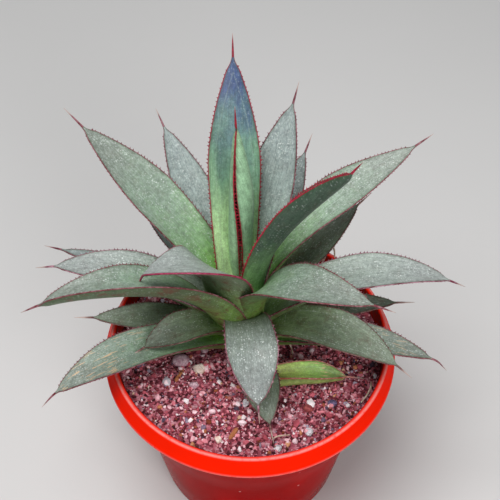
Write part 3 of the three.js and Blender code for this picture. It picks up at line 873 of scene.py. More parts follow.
def make_grit(name, count, size, area, level, seed, finish):
    """Angular grains scattered over the soil, merged into one mesh."""
    dice = np.random.default_rng(seed)
    ball, triangles = unit_ball(1)
    reach = area * np.sqrt(dice.random(count))
    angle = dice.random(count) * 2 * math.pi
    x = reach * np.cos(angle)
    y = reach * np.sin(angle)
    sizes = size * np.clip(dice.lognormal(0, GRAIN_SCATTER, count), *GRAIN_RANGE)
    points = np.zeros((count, len(ball), 3))
    for number in range(count):
        stretch = dice.uniform(*GRAIN_STRETCH, 3)
        jag = dice.uniform(*GRAIN_JAG, (len(ball), 1))
        turn = Matrix.Rotation(dice.uniform(0, 2 * math.pi), 3, dice.normal(size=3).tolist())
        shape = (ball * stretch * jag * sizes[number] / 2) @ np.array(turn)
        height = level + soil_bump(x[number], y[number]) + crumble(x[number], y[number])
        points[number] = shape + (x[number], y[number], height + GRAIN_RISE * sizes[number])
    tones = dice.beta(*GRAIN_TONES, count) + LARGE_PALER * (sizes > LARGE_GRAIN * size)
    hues = dice.random(count)
    faces = (triangles[None] + len(ball) * np.arange(count)[:, None, None]).reshape(-1, 3)
    piece = make_piece(name, points.reshape(-1, 3), faces.tolist(), [finish], smooth=False)
    add_numbers(piece, "grain_tone", np.repeat(np.clip(tones, 0, 1), len(ball)))
    add_numbers(piece, "grain_hue", np.repeat(hues, len(ball)))
    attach(piece, BODY)


def soil_bed(pot, level, edge):
    """Points and faces of the bed: a body turned to fit the pot, with an uneven top."""
    floor = pot.floor / MM + BED_GAP
    foot = pot.foot_radius / MM - pot.wall / MM - BED_FOOT_GAP
    under = [(0, floor), (foot, floor)]
    for radius, height in reversed(pot_profile(pot)[1][4:7]):
        under.append((radius - BED_SIDE_GAP, height + BED_GAP))
    rings = np.linspace(edge, BED_MIDDLE, SOIL_RINGS)
    pairs = under + [(radius, level) for radius in rings] + [(0, level)]
    points, faces = turned(pairs, SOIL_SPOKES)
    for point in points:
        x, y, height = point
        if height > level - 0.01:
            fade = min(1.0, (edge + BED_SIDE_GAP - math.hypot(x, y)) / BED_FADE)
            point[2] += soil_bump(x, y) * fade + crumble(x, y)
    return points, faces


class AGAVE_OT_soil(bpy.types.Operator):
    """Makes the bed of potting mix and its loose grit"""

    bl_idname = "agave.soil"
    bl_label = "Soil"

    def execute(self, context):
        sizes = context.scene.agave_soil
        pot = context.scene.agave_pot
        level = soil_level(context.scene)
        edge = inner_radius(pot, level) - BED_EDGE_GAP
        points, faces = soil_bed(pot, level, edge)
        bed = make_piece("soil_bed", points, faces, [soil_finish("potting mix", sizes)])
        stand_for(bed, "soil")
        finish = grit_finish("grit", sizes)
        for kind, seed in GRIT_SEEDS.items():
            count = getattr(sizes, kind + "_count")
            size = getattr(sizes, kind) / MM
            make_grit("soil_grit_" + kind, count, size, edge - GRIT_INSET, level, seed, finish)
        return {"FINISHED"}


# ---- Stem ----
STEM_ROWS = 40
STEM_SEGMENTS = 48
# Shares of the stem's height, and its radius there as a share of the solid's.
STEM_HEIGHTS = (0, 0.42, 0.77, 1)
STEM_RADII = (0.7, 1.0, 0.7, 0.35)
STEM_RIDGE = 0.25


class AGAVE_OT_stem(bpy.types.Operator):
    """Makes the short stem that the leaves stand on"""

    bl_idname = "agave.stem"
    bl_label = "Stem"

    def execute(self, context):
        radius = (STEM_HIGH[0] - STEM_LOW[0]) / 2
        bottom, top = STEM_LOW[2], STEM_HIGH[2]
        pairs = [(0, bottom)]
        for row in range(STEM_ROWS):
            share = row / (STEM_ROWS - 1)
            height = bottom + share * (top - bottom)
            shape = np.interp(share, STEM_HEIGHTS, STEM_RADII)
            ridge = STEM_RIDGE * math.sin(row * 2.1)
            pairs.append((radius * shape + ridge - STEM_RIDGE, height))
        pairs.append((0, top))
        points, faces = turned(pairs, STEM_SEGMENTS)
        points[:, :2] += CROWN
        stem = make_piece("stem_core", points, faces, [stem_finish("stem green")])
        stand_for(stem, "stem")
        return {"FINISHED"}


# ---- Leaves ----
# heading: compass direction of the foot in degrees, 0 to the right and 90 to the back.
# turn: how far the blade swings round by its tip. pitch: climb at foot, middle and tip.
# long, wide: shares of the leaf length and width. lift: height of the foot above the soil, and
# out: its distance from the stem's axis, in millimetres. foot: width there as a share of the
# widest. cup: how far each half curls up, at the foot and at the tip. roll: lean about the
# midrib, and sway: how far that lean swings to and fro along the blade. spine: its length, and
# sag: how far it bends down. at: a foot off the stem. furled: rolled up round the bud. margin:
# share of the usual edge radius. tone: a row of LEAF_TONES. shade: brightness. scarred: share
# of tan scars.
LEAF_SHAPE = dict(
    turn=0, out=6, foot=0.66, cup=(35, 20), roll=0, sway=0, spine=9, sag=0, at=None,
    furled=False, margin=1, shade=1, scarred=0, tone="grey")

LEAVES = {
    "leaf_spear": dict(heading=98, pitch=(86, 78, 74), long=0.98, wide=1.2, lift=40, out=1,
                       cup=(165, 172), roll=-24, sway=18, furled=True, margin=1.3, tone="spear"),
    "leaf_tall": dict(heading=91, pitch=(76, 60, 55), long=1.24, wide=1.04, lift=36, at=(-7, 7),
                      tone="young"),
    "leaf_inner_right": dict(heading=-2, turn=-40, pitch=(95, 60, 63), long=1.16, wide=1,
                             lift=38, out=5, cup=(30, 100), roll=-20, tone="inner", margin=1.25),
    "leaf_left_upper": dict(heading=149, pitch=(62, 40, 36), long=1.17, wide=1.08, lift=34,
                            spine=11, tone="green", shade=1.05),
    "leaf_back_right": dict(heading=64, pitch=(72, 60, 55), long=1.06, wide=1, lift=32,
                            shade=1.25),
    "leaf_back_left": dict(heading=119, pitch=(56, 38, 32), long=1.04, wide=0.88, lift=22,
                           shade=1.25),
    "leaf_right_upper": dict(heading=44, turn=-27, pitch=(72, 15, 33), long=1.23, wide=0.9,
                             foot=0.25, lift=31, cup=(60, 12), roll=14, tone="green", shade=1.15),
    "leaf_front_left_arched": dict(heading=230, turn=-64, pitch=(68, 60, -69), long=0.87,
                                   wide=1.3, lift=34, out=7, cup=(20, 12), roll=20,
                                   tone="blushed", margin=1.5, shade=1.1),
    "leaf_front_right_arched": dict(heading=-50, turn=38, pitch=(86, 40, -15), long=1.01,
                                    wide=1.04, lift=29, tone="green", margin=1.1),
    "leaf_front_hanging": dict(heading=-82, pitch=(85, 0, -60), long=0.67, wide=1.04, lift=22,
                               out=7, tone="pale", shade=0.72),
    "leaf_left_long": dict(heading=210, turn=-33, pitch=(72, 30, -34), long=1.22, wide=1.29,
                           lift=26, cup=(25, 59), roll=26, at=(-10, -2.5), tone="green",
                           shade=1.1),
    "leaf_left_middle": dict(heading=173, pitch=(52, 16, -15), long=0.99, wide=0.96, lift=21,
                             out=8, tone="pale", shade=1.05),
    "leaf_right_long": dict(heading=3, pitch=(50, 14, -32), long=1.1, wide=0.92, lift=22, out=8,
                            tone="pale", shade=1.1),
    "leaf_back_right_low": dict(heading=62, pitch=(58, 43, 40), long=0.88, wide=0.8, lift=20,
                                out=8),
    "leaf_left_behind": dict(heading=133, pitch=(50, 25, 10), long=0.88, wide=0.92, lift=18,
                             out=8),
    "leaf_right_behind": dict(heading=40, pitch=(50, 25, 15), long=0.84, wide=0.88, lift=14,
                              out=8, tone="deep"),
    "leaf_right_front": dict(heading=-25, pitch=(52, 10, -34), long=0.86, wide=1, lift=15, out=8,
                             tone="deep", shade=1.4),
    "leaf_left_short": dict(heading=206, pitch=(50, 8, -20), long=0.51, wide=0.8, lift=19, out=8,
                            tone="deep", shade=1.3),
    "leaf_left_dark": dict(heading=180, pitch=(28, 5, 0), long=0.72, wide=0.72, lift=11, out=8,
                           tone="deep", shade=1.4),
    "leaf_left_thin": dict(heading=160, pitch=(42, 12, -5), long=1.02, wide=0.52, lift=10, out=8),
    "leaf_left_low": dict(heading=204, pitch=(32, 4, -36), long=1.01, wide=0.92, lift=9, out=8,
                          sag=15, tone="green", shade=1.15, scarred=0.9),
    "leaf_right_low": dict(heading=-15, pitch=(30, 8, -18), long=0.96, wide=0.76, lift=8, out=8,
                           sag=40, tone="green", shade=0.9, scarred=0.35),
    "leaf_right_under": dict(heading=5, pitch=(30, 8, -5), long=0.76, wide=0.64, lift=12, out=8,
                             tone="deep"),
    "leaf_front_under": dict(heading=-76, pitch=(30, -5, -30), long=0.52, wide=0.8, lift=9,
                             out=8, tone="deep", shade=1.2),
    "leaf_back_low_left": dict(heading=104, pitch=(42, 12, -14), long=0.7, wide=0.84, lift=8,
                               out=8, tone="deep"),
    "leaf_back_low_right": dict(heading=74, pitch=(40, 14, -10), long=0.66, wide=0.8, lift=10,
                                out=8, tone="deep"),
    "leaf_on_soil": dict(heading=-1, pitch=(14, 0, -8), long=0.42, wide=0.64, lift=2,
                         cup=(80, 80), at=(9, -20), tone="fresh", shade=1.25, scarred=1),
}

BLADE_ROWS = 120
SPINE_ROWS = 12
UPPER_POINTS = 21
LOWER_POINTS = 15
EDGE_ANGLES = (50, 0, -50)
# Where the blade is widest, as a share of its length; how its outline curves below and above
# that; and how quickly it thins.
WIDEST = 0.57
LOWER_CURVE = 1.4
POINT_CURVE = 1.7
THINNING = 1.3
# How high the upper face swells, as a share of the thickness, and how full the lower face is.
UPPER_SWELL = 0.12
BELLY_CURVE = 0.8
# The furled blade is thinner than a flat one, and its solid is thicker.
FURLED_BLADE = 0.3
FURLED_SOLID = 1.9
# Where the blade starts to turn into the round spine, as a share of its length, and the first
# angle round it, as a share of half a turn.
ROUND_FROM = 0.93
ROUND_START = 0.97
# How much the spine has thinned at its point, and how it gets there.
SPINE_TAPER = 0.85
SPINE_CURVE = 1.2
# Faces of a section's points; the margin lies between them.
UPPER, MARGIN, LOWER = 1, 0.5, 0
# Steps in the leaf coordinates: to the lower face in millimetres, and to the next leaf in
# centimetres.
LOWER_FACE_OFFSET = 400
MARKS_OFFSET = 7.3
MM_PER_CM = 10


def along_leaf(figures, share):
    """A value that runs smoothly through its foot, middle and tip figures."""
    foot, middle, tip = figures
    return (foot * (1 - share) * (1 - 2 * share) + 4 * middle * share * (1 - share)
            + tip * share * (2 * share - 1))


def blade_profile(share, foot):
    """Half-width as a share of the widest, which is past the middle, before the point."""
    below = 1 - (1 - foot) * np.clip(1 - share / WIDEST, 0, 1) ** LOWER_CURVE
    above = 1 - np.clip((share - WIDEST) / (1 - WIDEST), 0, 1) ** POINT_CURVE
    return np.where(share < WIDEST, below, above)


def leaf_directions(leaf, share):
    """Forward, side and up directions of the blade at shares along it."""
    pitch = np.radians(along_leaf(leaf["pitch"], share))
    heading = np.radians(leaf["heading"] + leaf["turn"] * share ** 2)
    forward = np.stack([
        np.cos(pitch) * np.cos(heading), np.cos(pitch) * np.sin(heading), np.sin(pitch)], -1)
    side = np.stack([-np.sin(heading), np.cos(heading), np.zeros_like(heading)], -1)
    up = np.cross(forward, side)
    roll = np.radians(leaf["roll"] + leaf["sway"] * np.sin(2 * math.pi * share))[:, None]
    return (forward, side * np.cos(roll) + up * np.sin(roll),
            up * np.cos(roll) - side * np.sin(roll))


def midrib(leaf, length, level):
    """Points along the upper face's middle, from the foot to the blade's end."""
    share = np.arange(BLADE_ROWS + 1) / BLADE_ROWS
    between = (np.arange(BLADE_ROWS) + 0.5) / BLADE_ROWS
    steps = leaf_directions(leaf, between)[0] * length / BLADE_ROWS
    heading = math.radians(leaf["heading"])
    if leaf["at"] is None:
        x, y = CROWN + leaf["out"] * np.array([math.cos(heading), math.sin(heading)])
    else:
        x, y = leaf["at"]
    start = np.array([[x, y, level + leaf["lift"]]])
    return share, np.concatenate([start, start + np.cumsum(steps, 0)])


class Blade:
    """The measures of one leaf's blade at each of its rows."""

    def __init__(self, leaf, sizes, level):
        self.leaf = leaf
        self.length = leaf["long"] * sizes.length / MM
        self.share, self.middle = midrib(leaf, self.length, level)
        self.forward, self.side, self.up = leaf_directions(leaf, self.share)
        self.end = sizes.spine_radius / MM
        self.edge = leaf["margin"] * sizes.margin_radius / MM
        widest = leaf["wide"] * sizes.width / MM / 2
        self.half = np.maximum(self.end, blade_profile(self.share, leaf["foot"]) * widest)
        foot, tip = np.radians(leaf["cup"])
        self.cup = foot + (tip - foot) * self.share
        base, thin = sizes.base_thickness / MM, sizes.tip_thickness / MM
        self.thick = thin + (base - thin) * (1 - self.share) ** THINNING
        if leaf["furled"]:
            self.furl()

    def furl(self):
        """Rolls the blade up: thin, and set back so that the roll stands where the solid is."""
        solid = FURLED_SOLID * self.thick
        radius = self.half / self.cup
        self.middle = self.middle - self.up * (radius + solid / 2)[:, None]
        self.thick = FURLED_BLADE * self.thick

    def section(self, across, offset, spread=0.0):
        """Places on every row: across from -1 to 1, then offset along the outward normal and
        spread along the blade's own breadth, in millimetres."""
        bend = self.cup * across
        side = self.half * np.sin(bend) / self.cup + spread * np.cos(bend) - offset * np.sin(bend)
        up = (self.half * (1 - np.cos(bend)) / self.cup
              + spread * np.sin(bend) + offset * np.cos(bend))
        return side, up


def ring_plan():
    """Across value, face and edge angle for each point round a section, with the upper face's
    points closer together toward its margins."""
    bow = math.pi / 2 * 0.92
    plan = []
    for across in np.sin(np.linspace(-1, 1, UPPER_POINTS) * bow) / math.sin(bow):
        plan.append((across, UPPER, None))
    for angle in EDGE_ANGLES:
        plan.append((1, MARGIN, angle))
    for across in np.linspace(1, -1, LOWER_POINTS):
        plan.append((across, LOWER, None))
    for angle in reversed(EDGE_ANGLES):
        plan.append((-1, MARGIN, angle))
    return plan


def round_angles(count):
    """Even angles round a spine, counted as the section's points are."""
    return math.pi * ROUND_START - even_angles(count)


def blade_rows(blade, plan):
    """Points of the blade as rows of rings that grow round where the spine begins."""
    side = np.zeros((BLADE_ROWS + 1, len(plan)))
    up = np.zeros_like(side)
    for number, (across, face, angle) in enumerate(plan):
        if face == UPPER:
            swell = UPPER_SWELL * blade.thick * (1 - across ** 2)
            place = blade.section(across, swell + blade.edge)
        elif face == LOWER:
            belly = blade.thick * (1 - across ** 2) ** BELLY_CURVE
            place = blade.section(across, -belly - blade.edge)
        else:
            turn = math.radians(angle)
            out = blade.edge * math.cos(turn) * across
            place = blade.section(across, blade.edge * math.sin(turn), out)
        side[:, number], up[:, number] = place
    angles = round_angles(len(plan))
    fade = np.clip((blade.share - ROUND_FROM) / (1 - ROUND_FROM), 0, 1)[:, None]
    fade = fade * fade * (3 - 2 * fade)
    side = side * (1 - fade) + blade.end * np.cos(angles) * fade
    up = up * (1 - fade) + blade.end * np.sin(angles) * fade
    return (blade.middle[:, None] + side[..., None] * blade.side[:, None]
            + up[..., None] * blade.up[:, None])


def spine_rows(blade, count):
    """Points of the spine as rows of rings, each row's distance to the blade's end, which is
    below 0 past that end, and the spine's point."""
    angles = round_angles(count)
    circle = (np.cos(angles)[:, None] * blade.side[-1]
              + np.sin(angles)[:, None] * blade.up[-1])
    ahead = blade.forward[-1]
    place = blade.middle[-1]
    length = blade.leaf["spine"]
    step = length / SPINE_ROWS
    rows, tips = [], []
    for row in range(1, SPINE_ROWS + 1):
        reach = row / SPINE_ROWS
        drop = math.radians(blade.leaf["sag"]) * min(1, 2 * reach)
        place = place + step * (ahead * math.cos(drop) - np.array([0, 0, math.sin(drop)]))
        radius = blade.end * (1 - SPINE_TAPER * reach ** SPINE_CURVE)
        rows.append(place + radius * circle)
        tips.append(-reach * length)
    return rows, tips, place


TOOTH_SIDES = 6
TOOTH_POINTS = 2 * TOOTH_SIDES + 1
# Shares of the usual spacing for the first tooth and for each gap, where the teeth stop along
# the blade, and how far their sizes differ.
FIRST_TOOTH = (1, 3)
TOOTH_GAPS = (0.7, 1.35)
LAST_TOOTH = 0.95
TOOTH_SIZES = (0.7, 1.2)
# A tooth's foot reaches into the margin, its waist is narrower, and its point leans forward as
# a share of its height.
TOOTH_SINK = 0.25
TOOTH_WAIST = 0.42
TOOTH_HOOK = 0.45


def tooth_points(foot, out, ahead, normal, height, breadth, depth):
    """A hooked tooth: an oval foot, an oval waist and a point."""
    ring = even_angles(TOOTH_SIDES)
    oval = np.cos(ring)[:, None] * ahead * breadth + np.sin(ring)[:, None] * normal * depth
    low = foot - TOOTH_SINK * out + oval
    waist = foot + 0.45 * height * out + 0.05 * height * ahead + TOOTH_WAIST * oval
    point = foot + height * out + TOOTH_HOOK * height * ahead
    return np.concatenate([low, waist, [point]])


def tooth_faces(first):
    """Faces of a tooth whose points start at a number."""
    waist = first + TOOTH_SIDES
    faces = ring_faces(first, TOOTH_SIDES, 2)
    for step in range(TOOTH_SIDES):
        faces.append((waist + step, waist + (step + 1) % TOOTH_SIDES, waist + TOOTH_SIDES))
    faces.append(tuple(reversed(range(first, waist))))
    return faces


def leaf_teeth(blade, sizes, dice, first):
    """Points, faces and distances to the blade's end for the teeth on both margins. Their
    points start at a number."""
    points, faces, tips = [], [], []
    spacing = sizes.tooth_spacing / MM
    tallest = sizes.tooth_height / MM
    for hand in (-1, 1):
        side, up = blade.section(hand, 0.0)
        margin = blade.middle + side[:, None] * blade.side + up[:, None] * blade.up
        bend = blade.cup * hand
        out = hand * (np.cos(bend)[:, None] * blade.side + np.sin(bend)[:, None] * blade.up)
        normal = np.cos(bend)[:, None] * blade.up - np.sin(bend)[:, None] * blade.side
        reach = spacing * dice.uniform(*FIRST_TOOTH)
        while reach < LAST_TOOTH * blade.length:
            share = reach / blade.length
            row = share * BLADE_ROWS
            low = int(row)
            part = row - low
            foot = margin[low] * (1 - part) + margin[low + 1] * part
            swell = 0.45 + 0.55 * math.sin(math.pi * share ** 0.8)
            height = tallest * (swell * dice.uniform(*TOOTH_SIZES))
            faces += tooth_faces(first + TOOTH_POINTS * len(points))
            points.append(tooth_points(
                foot, out[low], blade.forward[low], normal[low], height + blade.edge,
                0.35 + 0.35 * height, 0.9 * blade.edge))
            tips += [blade.length - reach] * TOOTH_POINTS
            reach += spacing * dice.uniform(*TOOTH_GAPS)
    return np.concatenate(points), faces, tips


def blade_faces(plan, rows):
    """Faces of blade and spine, up to the spine's point, and which of them are horny."""
    count = len(plan)
    faces = ring_faces(0, count, rows)
    horny = []
    for row in range(rows - 1):
        for step in range(count):
            after = (step + 1) % count
            rim = MARGIN in (plan[step][1], plan[after][1])
            horny.append(rim or row >= BLADE_ROWS - 2)
    end = rows * count
    last = end - count
    for step in range(count):
        faces.append((last + step, last + (step + 1) % count, end))
        horny.append(True)
    faces.append(tuple(reversed(range(count))))
    horny.append(False)
    return faces, horny


def add_leaf_numbers(piece, blade, plan, tips, end_tips, offset):
    """What the leaf's materials read. The end tips belong to the spine's point and the teeth,
    and the offset keeps one leaf's marks unlike another's."""
    count = len(plan)
    others = len(end_tips)
    across = np.array([entry[0] for entry in plan])
    face = np.array([entry[1] for entry in plan])
    half = np.concatenate([blade.half, np.full(SPINE_ROWS, blade.end)])
    share = np.concatenate([blade.share, np.ones(SPINE_ROWS)])
    edges = (half[:, None] * (1 - np.abs(across))).ravel()
    add_numbers(piece, "along", np.concatenate([np.repeat(share, count), np.ones(others)]))
    add_numbers(piece, "edge_mm", np.concatenate([edges, np.zeros(others)]))
    add_numbers(piece, "tip_mm", np.concatenate([np.repeat(tips, count), end_tips]))
    add_numbers(piece, "upper", np.concatenate([np.tile(face, len(tips)), np.ones(others)]))
    for quality in ("shade", "scarred"):
        add_numbers(piece, quality, np.full(len(piece.data.vertices), blade.leaf[quality]))
    sideways = half[:, None] * across + LOWER_FACE_OFFSET * (face == LOWER)
    flat = np.stack([
        sideways.ravel() / MM_PER_CM + offset,
        np.repeat(blade.length - tips, count) / MM_PER_CM], -1)
    add_leaf_place(piece, np.concatenate([flat, np.zeros((others, 2))]))


def make_leaf(node, leaf, sizes, level, finishes, seed):
    """One leaf: its blade and spine in one skin, with the teeth set on the margins."""
    blade = Blade(leaf, sizes, level)
    plan = ring_plan()
    spine, spine_tips, end = spine_rows(blade, len(plan))
    rows = np.concatenate([blade_rows(blade, plan), spine])
    tips = np.concatenate([(1 - blade.share) * blade.length, spine_tips])
    faces, horny = blade_faces(plan, len(rows))
    points = np.concatenate([rows.reshape(-1, 3), [end]])
    teeth, teeth_faces, teeth_tips = leaf_teeth(
        blade, sizes, np.random.default_rng(seed), len(points))
    horny += [True] * len(teeth_faces)
    piece = make_piece(
        node + "_blade", np.concatenate([points, teeth]), faces + teeth_faces, finishes, horny)
    add_leaf_numbers(
        piece, blade, plan, tips, [-leaf["spine"]] + teeth_tips, seed * MARKS_OFFSET)
    stand_for(piece, node)


class AGAVE_OT_leaves(bpy.types.Operator):
    """Makes every leaf with its margin, teeth and spine"""

    bl_idname = "agave.leaves"
    bl_label = "Leaves"

    def execute(self, context):
        sizes = context.scene.agave_leaf
        level = soil_level(context.scene)
        finishes = {}
        for name, tone in LEAF_TONES.items():
            finishes[name] = [
                leaf_finish("leaf " + name, tone, sizes), horn_finish("horn " + name, tone, sizes)]
        for seed, (node, shape) in enumerate(LEAVES.items()):
            leaf = {**LEAF_SHAPE, **shape}
            make_leaf(node, leaf, sizes, level, finishes[leaf["tone"]], seed)
        return {"FINISHED"}


# ---- Stones, bark and fibres ----
# A broken stone's flats, and how far from its middle they lie, as shares of the radius.
STONE_FLATS = 9
FLAT_DEPTHS = (0.66, 0.9)
# Height of the lumps on a worn pebble and on a broken stone, as shares of the radius.
PEBBLE_LUMPS = 0.05
STONE_LUMPS = 0.07


def stone_flats(seed):
    """Directions and distances of the flats that cut a broken stone out of a ball."""
    dice = np.random.default_rng(seed)
    flats = []
    for _ in range(STONE_FLATS):
        normal = dice.normal(size=3)
        flats.append((normal / np.linalg.norm(normal), dice.uniform(*FLAT_DEPTHS)))
    return flats


def stone_surface(direction, flats, roughness, seed):
    """A stone's surface in a direction: a ball with flats and small lumps."""
    reach = 1.0
    for normal, depth in flats:
        along = float(np.dot(normal, direction))
        if along > 1e-3:
            reach = min(reach, depth / along)
    lumps = noise.fractal(Vector(direction) * 1.9 + Vector((seed, 0, 0)), 0.8, 2.0, 4)
    return direction * (reach + roughness * lumps)


def make_stone(node, seed, finish):
    """A stone as large as its solid and in the same place."""
    low, high = solid_box(node)
    rounded = "pebble" in node or "small" in node
    flats = [] if rounded else stone_flats(seed)
    roughness = PEBBLE_LUMPS if rounded else STONE_LUMPS
    ball, faces = unit_ball(4)
    shape = np.array([stone_surface(place, flats, roughness, seed) for place in ball])
    span = shape.max(0) - shape.min(0)
    points = low + (shape - shape.min(0)) / span * (high - low)
    piece = make_piece(node + "_stone", points, faces.tolist(), [finish])
    stand_for(piece, node)


class AGAVE_OT_stones(bpy.types.Operator):
    """Makes the larger loose stones on the soil"""

    bl_idname = "agave.stones"
    bl_label = "Stones"

    def execute(self, context):
        finishes = {slot: stone_finish(slot, *colours) for slot, colours in STONE_COLOURS.items()}
        for seed, node in enumerate(nodes_called("stone_")):
            make_stone(node, seed, finishes[SLOT_OF[node]])
        return {"FINISHED"}


BARK_ROWS = 14
BARK_RING = 12
BARK_SEED = 40
# A chip's length as a share of its solid's, its width as a share of the solid's length, its
# height as a share of the solid's, and how rough its outline is.
BARK_LENGTH = 0.95
BARK_WIDTH = 0.30
BARK_HEIGHT = 0.8
BARK_ROUGHNESS = (0.82, 1.1)


def make_chip(node, seed, finish):
    """A rough chip of bark that lies along the diagonal of its solid's box."""
    dice = np.random.default_rng(seed)
    low, high = solid_box(node)
    middle = (low + high) / 2
    reach = (high - low) / 2
    along = reach * (1, 1, 0)
    across = np.array([-along[1], along[0], 0]) * BARK_WIDTH
    up = reach * (0, 0, BARK_HEIGHT)
    points = []
    for row in range(BARK_ROWS):
        share = 2 * row / (BARK_ROWS - 1) - 1
        swell = (1 - abs(share) ** 5) * 0.9 + 0.1
        for angle in even_angles(BARK_RING):
            rough = dice.uniform(*BARK_ROUGHNESS) * swell
            points.append(middle + share * BARK_LENGTH * along
                          + rough * (math.cos(angle) * across + math.sin(angle) * up))
    faces = closed_rings(BARK_RING, BARK_ROWS)
    piece = make_piece(node + "_chip", points, faces, [finish], smooth=False)
    add_leaf_place(piece, [
        (number % BARK_RING / BARK_RING, number // BARK_RING / BARK_ROWS)
        for number in range(len(points))])
    stand_for(piece, node)


class AGAVE_OT_bark(bpy.types.Operator):
    """Makes the torn chips of bark on the soil"""

    bl_idname = "agave.bark"
    bl_label = "Bark chips"

    def execute(self, context):
        finish = bark_finish("bark")
        for number, node in enumerate(nodes_called("bark_")):
            make_chip(node, BARK_SEED + number, finish)
        return {"FINISHED"}


# Each fibre's radius, and its path: shares of the soil's radius to the right and to the back,
# and a height above the soil. Radius and height are in millimetres.
FIBRES = {
    "fibre_right": (0.5, [(0.82, -0.52, 1.6), (0.87, -0.46, 2.8), (0.9, -0.4, 3.2),
                          (0.91, -0.34, 2.4)]),
    "fibre_front": (0.4, [(0.16, -0.83, 1.6), (0.19, -0.81, 2.2), (0.24, -0.8, 2.2),
                          (0.29, -0.79, 1.6)]),
    "fibre_middle": (0.4, [(0.33, -0.09, 1.4), (0.32, -0.04, 2.6), (0.3, 0, 4.2),
                           (0.3, 0.05, 5)]),
    "fibre_back": (0.6, [(0.55, 0.74, 1.6), (0.6, 0.77, 9), (0.63, 0.78, 17),
                         (0.67, 0.75, 21), (0.68, 0.7, 17)]),
}
FIBRE_INSET = 4.0
FIBRE_STEPS = 8
FIBRE_SIDES = 8


class AGAVE_OT_fibres(bpy.types.Operator):
    """Makes the dried fibres that lie on the soil"""

    bl_idname = "agave.fibres"
    bl_label = "Dried fibres"

    def execute(self, context):
        finish = fibre_finish("dried fibre")
        pot = context.scene.agave_pot
        level = soil_level(context.scene)
        reach = RIM_RADIUS - pot.skirt_flare / MM - FIBRE_INSET
        for node, (radius, path) in FIBRES.items():
            stops = np.array([(x * reach, y * reach, level + rise) for x, y, rise in path])
            places = np.linspace(0, len(stops) - 1, FIBRE_STEPS * len(stops))
            line = np.stack([smooth_path(values, places) for values in stops.T], -1)
            points, faces = strand(line, radius, FIBRE_SIDES)
            piece = make_piece(node + "_strand", points, faces, [finish])
            stand_for(piece, node)
        return {"FINISHED"}


def smooth_path(values, places):
    """A smooth curve through the values, read at fractional places."""
    result = []
    last = len(values) - 1
    for place in places:
        start = min(int(place), last - 1)
        part = place - start
        before, after = max(start - 1, 0), min(start + 2, last)
        p0, p1, p2, p3 = values[before], values[start], values[start + 1], values[after]
        result.append(0.5 * (2 * p1 + (p2 - p0) * part
                             + (2 * p0 - 5 * p1 + 4 * p2 - p3) * part ** 2
                             + (3 * p1 - p0 - 3 * p2 + p3) * part ** 3))
    return np.array(result)


def strand(line, radius, sides):
    """A round strand that thins toward both ends."""
    count = len(line)
    points = []
    for number, place in enumerate(line):
        ahead = line[min(number + 1, count - 1)] - line[max(number - 1, 0)]
        ahead = ahead / np.linalg.norm(ahead)
        side = np.cross(ahead, (0, 0, 1))
        side = side / np.linalg.norm(side)
        up = np.cross(side, ahead)
        share = number / (count - 1)
        thin = radius * (0.35 + 0.65 * math.sin(math.pi * share) ** 0.5)
        for angle in even_angles(sides):
            points.append(place + thin * (math.cos(angle) * side + math.sin(angle) * up))
    return np.array(points), closed_rings(sides, count)


# ---- Stage ----
# Half the side of the floor, in millimetres.
FLOOR_REACH = 3000
ROOM_COLOUR = (0.92, 0.96, 1.0, 1)
ROOM_STRENGTH = 0.20
# Diameters and places of the lamps, in metres.
KEY_SIZE = 0.9
KEY_PLACE = (-0.25, -0.15, 1.3)
FILL_SIZE = 0.7
FILL_PLACE = (0.5, -1.0, 0.7)
# The camera's sensor in millimetres, and the nearest thing it sees in metres.
SENSOR_WIDTH = 36
NEAREST = 0.01


def add_floor(sizes):
    """A wide square floor that the pot stands on."""
    reach = FLOOR_REACH
    corners = [(-reach, -reach, 0), (reach, -reach, 0), (reach, reach, 0), (-reach, reach, 0)]
    finish = floor_finish("pale floor", tuple(sizes.backdrop))
    floor = make_piece("studio_floor", corners, [(0, 1, 2, 3)], [finish])


def add_room_light(scene):
    """Soft light from everywhere."""
    world = bpy.data.worlds.new("soft room")
    world.use_nodes = True
    background = world.node_tree.nodes["Background"]
    background.inputs["Color"].default_value = ROOM_COLOUR
    background.inputs["Strength"].default_value = ROOM_STRENGTH
    scene.world = world


def add_lamp(name, power, size, place):
    """A round lamp that faces the rim of the pot."""
    aim = Vector((0, 0, POT_HEIGHT * MM))
    lamp = bpy.data.lights.new(name, "AREA")
    lamp.shape = "DISK"
    lamp.size = size
    lamp.energy = power
    lamp_object = bpy.data.objects.new(name, lamp)
    lamp_object.location = place
    lamp_object.rotation_euler = (aim - Vector(place)).to_track_quat("-Z", "Y").to_euler()
    bpy.context.scene.collection.objects.link(lamp_object)


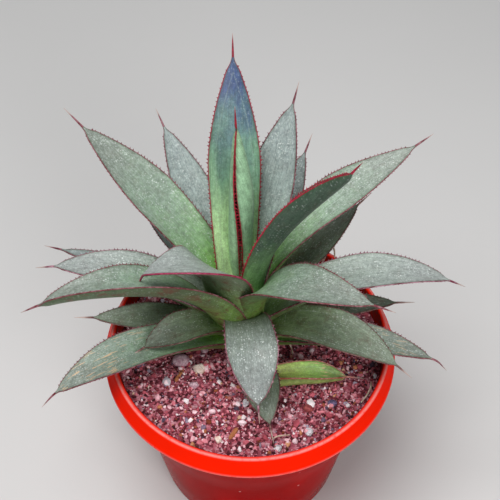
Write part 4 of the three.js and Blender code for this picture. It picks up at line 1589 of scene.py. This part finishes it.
def add_camera(scene, sizes):
    """The camera, which looks down at the plant from the front."""
    camera = bpy.data.cameras.new("camera")
    camera.lens = sizes.lens
    camera.sensor_width = SENSOR_WIDTH
    camera.clip_start = NEAREST
    camera_object = bpy.data.objects.new("camera", camera)
    target = Vector((0, 0, sizes.aim_height))
    back = Vector((0, -math.cos(sizes.elevation), math.sin(sizes.elevation)))
    camera_object.location = target + back * sizes.distance
    camera_object.rotation_euler = (-back).to_track_quat("-Z", "Y").to_euler()
    scene.collection.objects.link(camera_object)
    scene.camera = camera_object


class AGAVE_OT_stage(bpy.types.Operator):
    """Makes the floor, the soft lights and the camera"""

    bl_idname = "agave.stage"
    bl_label = "Stage"

    def execute(self, context):
        scene = context.scene
        sizes = scene.agave_stage
        add_floor(sizes)
        add_room_light(scene)
        add_lamp("key", sizes.key_power, KEY_SIZE, KEY_PLACE)
        add_lamp("fill", sizes.fill_power, FILL_SIZE, FILL_PLACE)
        add_camera(scene, sizes)
        scene.view_settings.view_transform = "Standard"
        return {"FINISHED"}


OPERATORS = (
    AGAVE_OT_pot, AGAVE_OT_soil, AGAVE_OT_stem, AGAVE_OT_leaves, AGAVE_OT_stones,
    AGAVE_OT_bark, AGAVE_OT_fibres, AGAVE_OT_stage)
GROUPS = {
    "agave_pot": PotSizes, "agave_leaf": LeafSizes, "agave_soil": SoilSizes,
    "agave_stage": StageSizes}


class AGAVE_PT_panel(bpy.types.Panel):
    """Lists the pieces of the potted agave"""

    bl_idname = "AGAVE_PT_panel"
    bl_label = "Potted Agave"
    bl_space_type = "VIEW_3D"
    bl_region_type = "UI"
    bl_category = "Agave"

    def draw(self, context):
        for name, group in GROUPS.items():
            box = self.layout.box()
            box.label(text=group.__doc__)
            for field in group.__annotations__:
                box.prop(getattr(context.scene, name), field)
        for operator in OPERATORS:
            self.layout.operator(operator.bl_idname)


CLASSES = (*GROUPS.values(), *OPERATORS, AGAVE_PT_panel)


def register():
    """Adds the classes, and the groups of sizes to the scene."""
    for item in CLASSES:
        bpy.utils.register_class(item)
    for name, group in GROUPS.items():
        setattr(bpy.types.Scene, name, PointerProperty(type=group))


def unregister():
    """Takes the groups of sizes and the classes away again."""
    for name in GROUPS:
        delattr(bpy.types.Scene, name)
    for item in reversed(CLASSES):
        bpy.utils.unregister_class(item)


def main():
    """Makes every piece in order."""
    register()
    for operator in OPERATORS:
        name = operator.bl_idname.split(".")[1]
        getattr(bpy.ops.agave, name)()


if __name__ == "__main__":
    main()
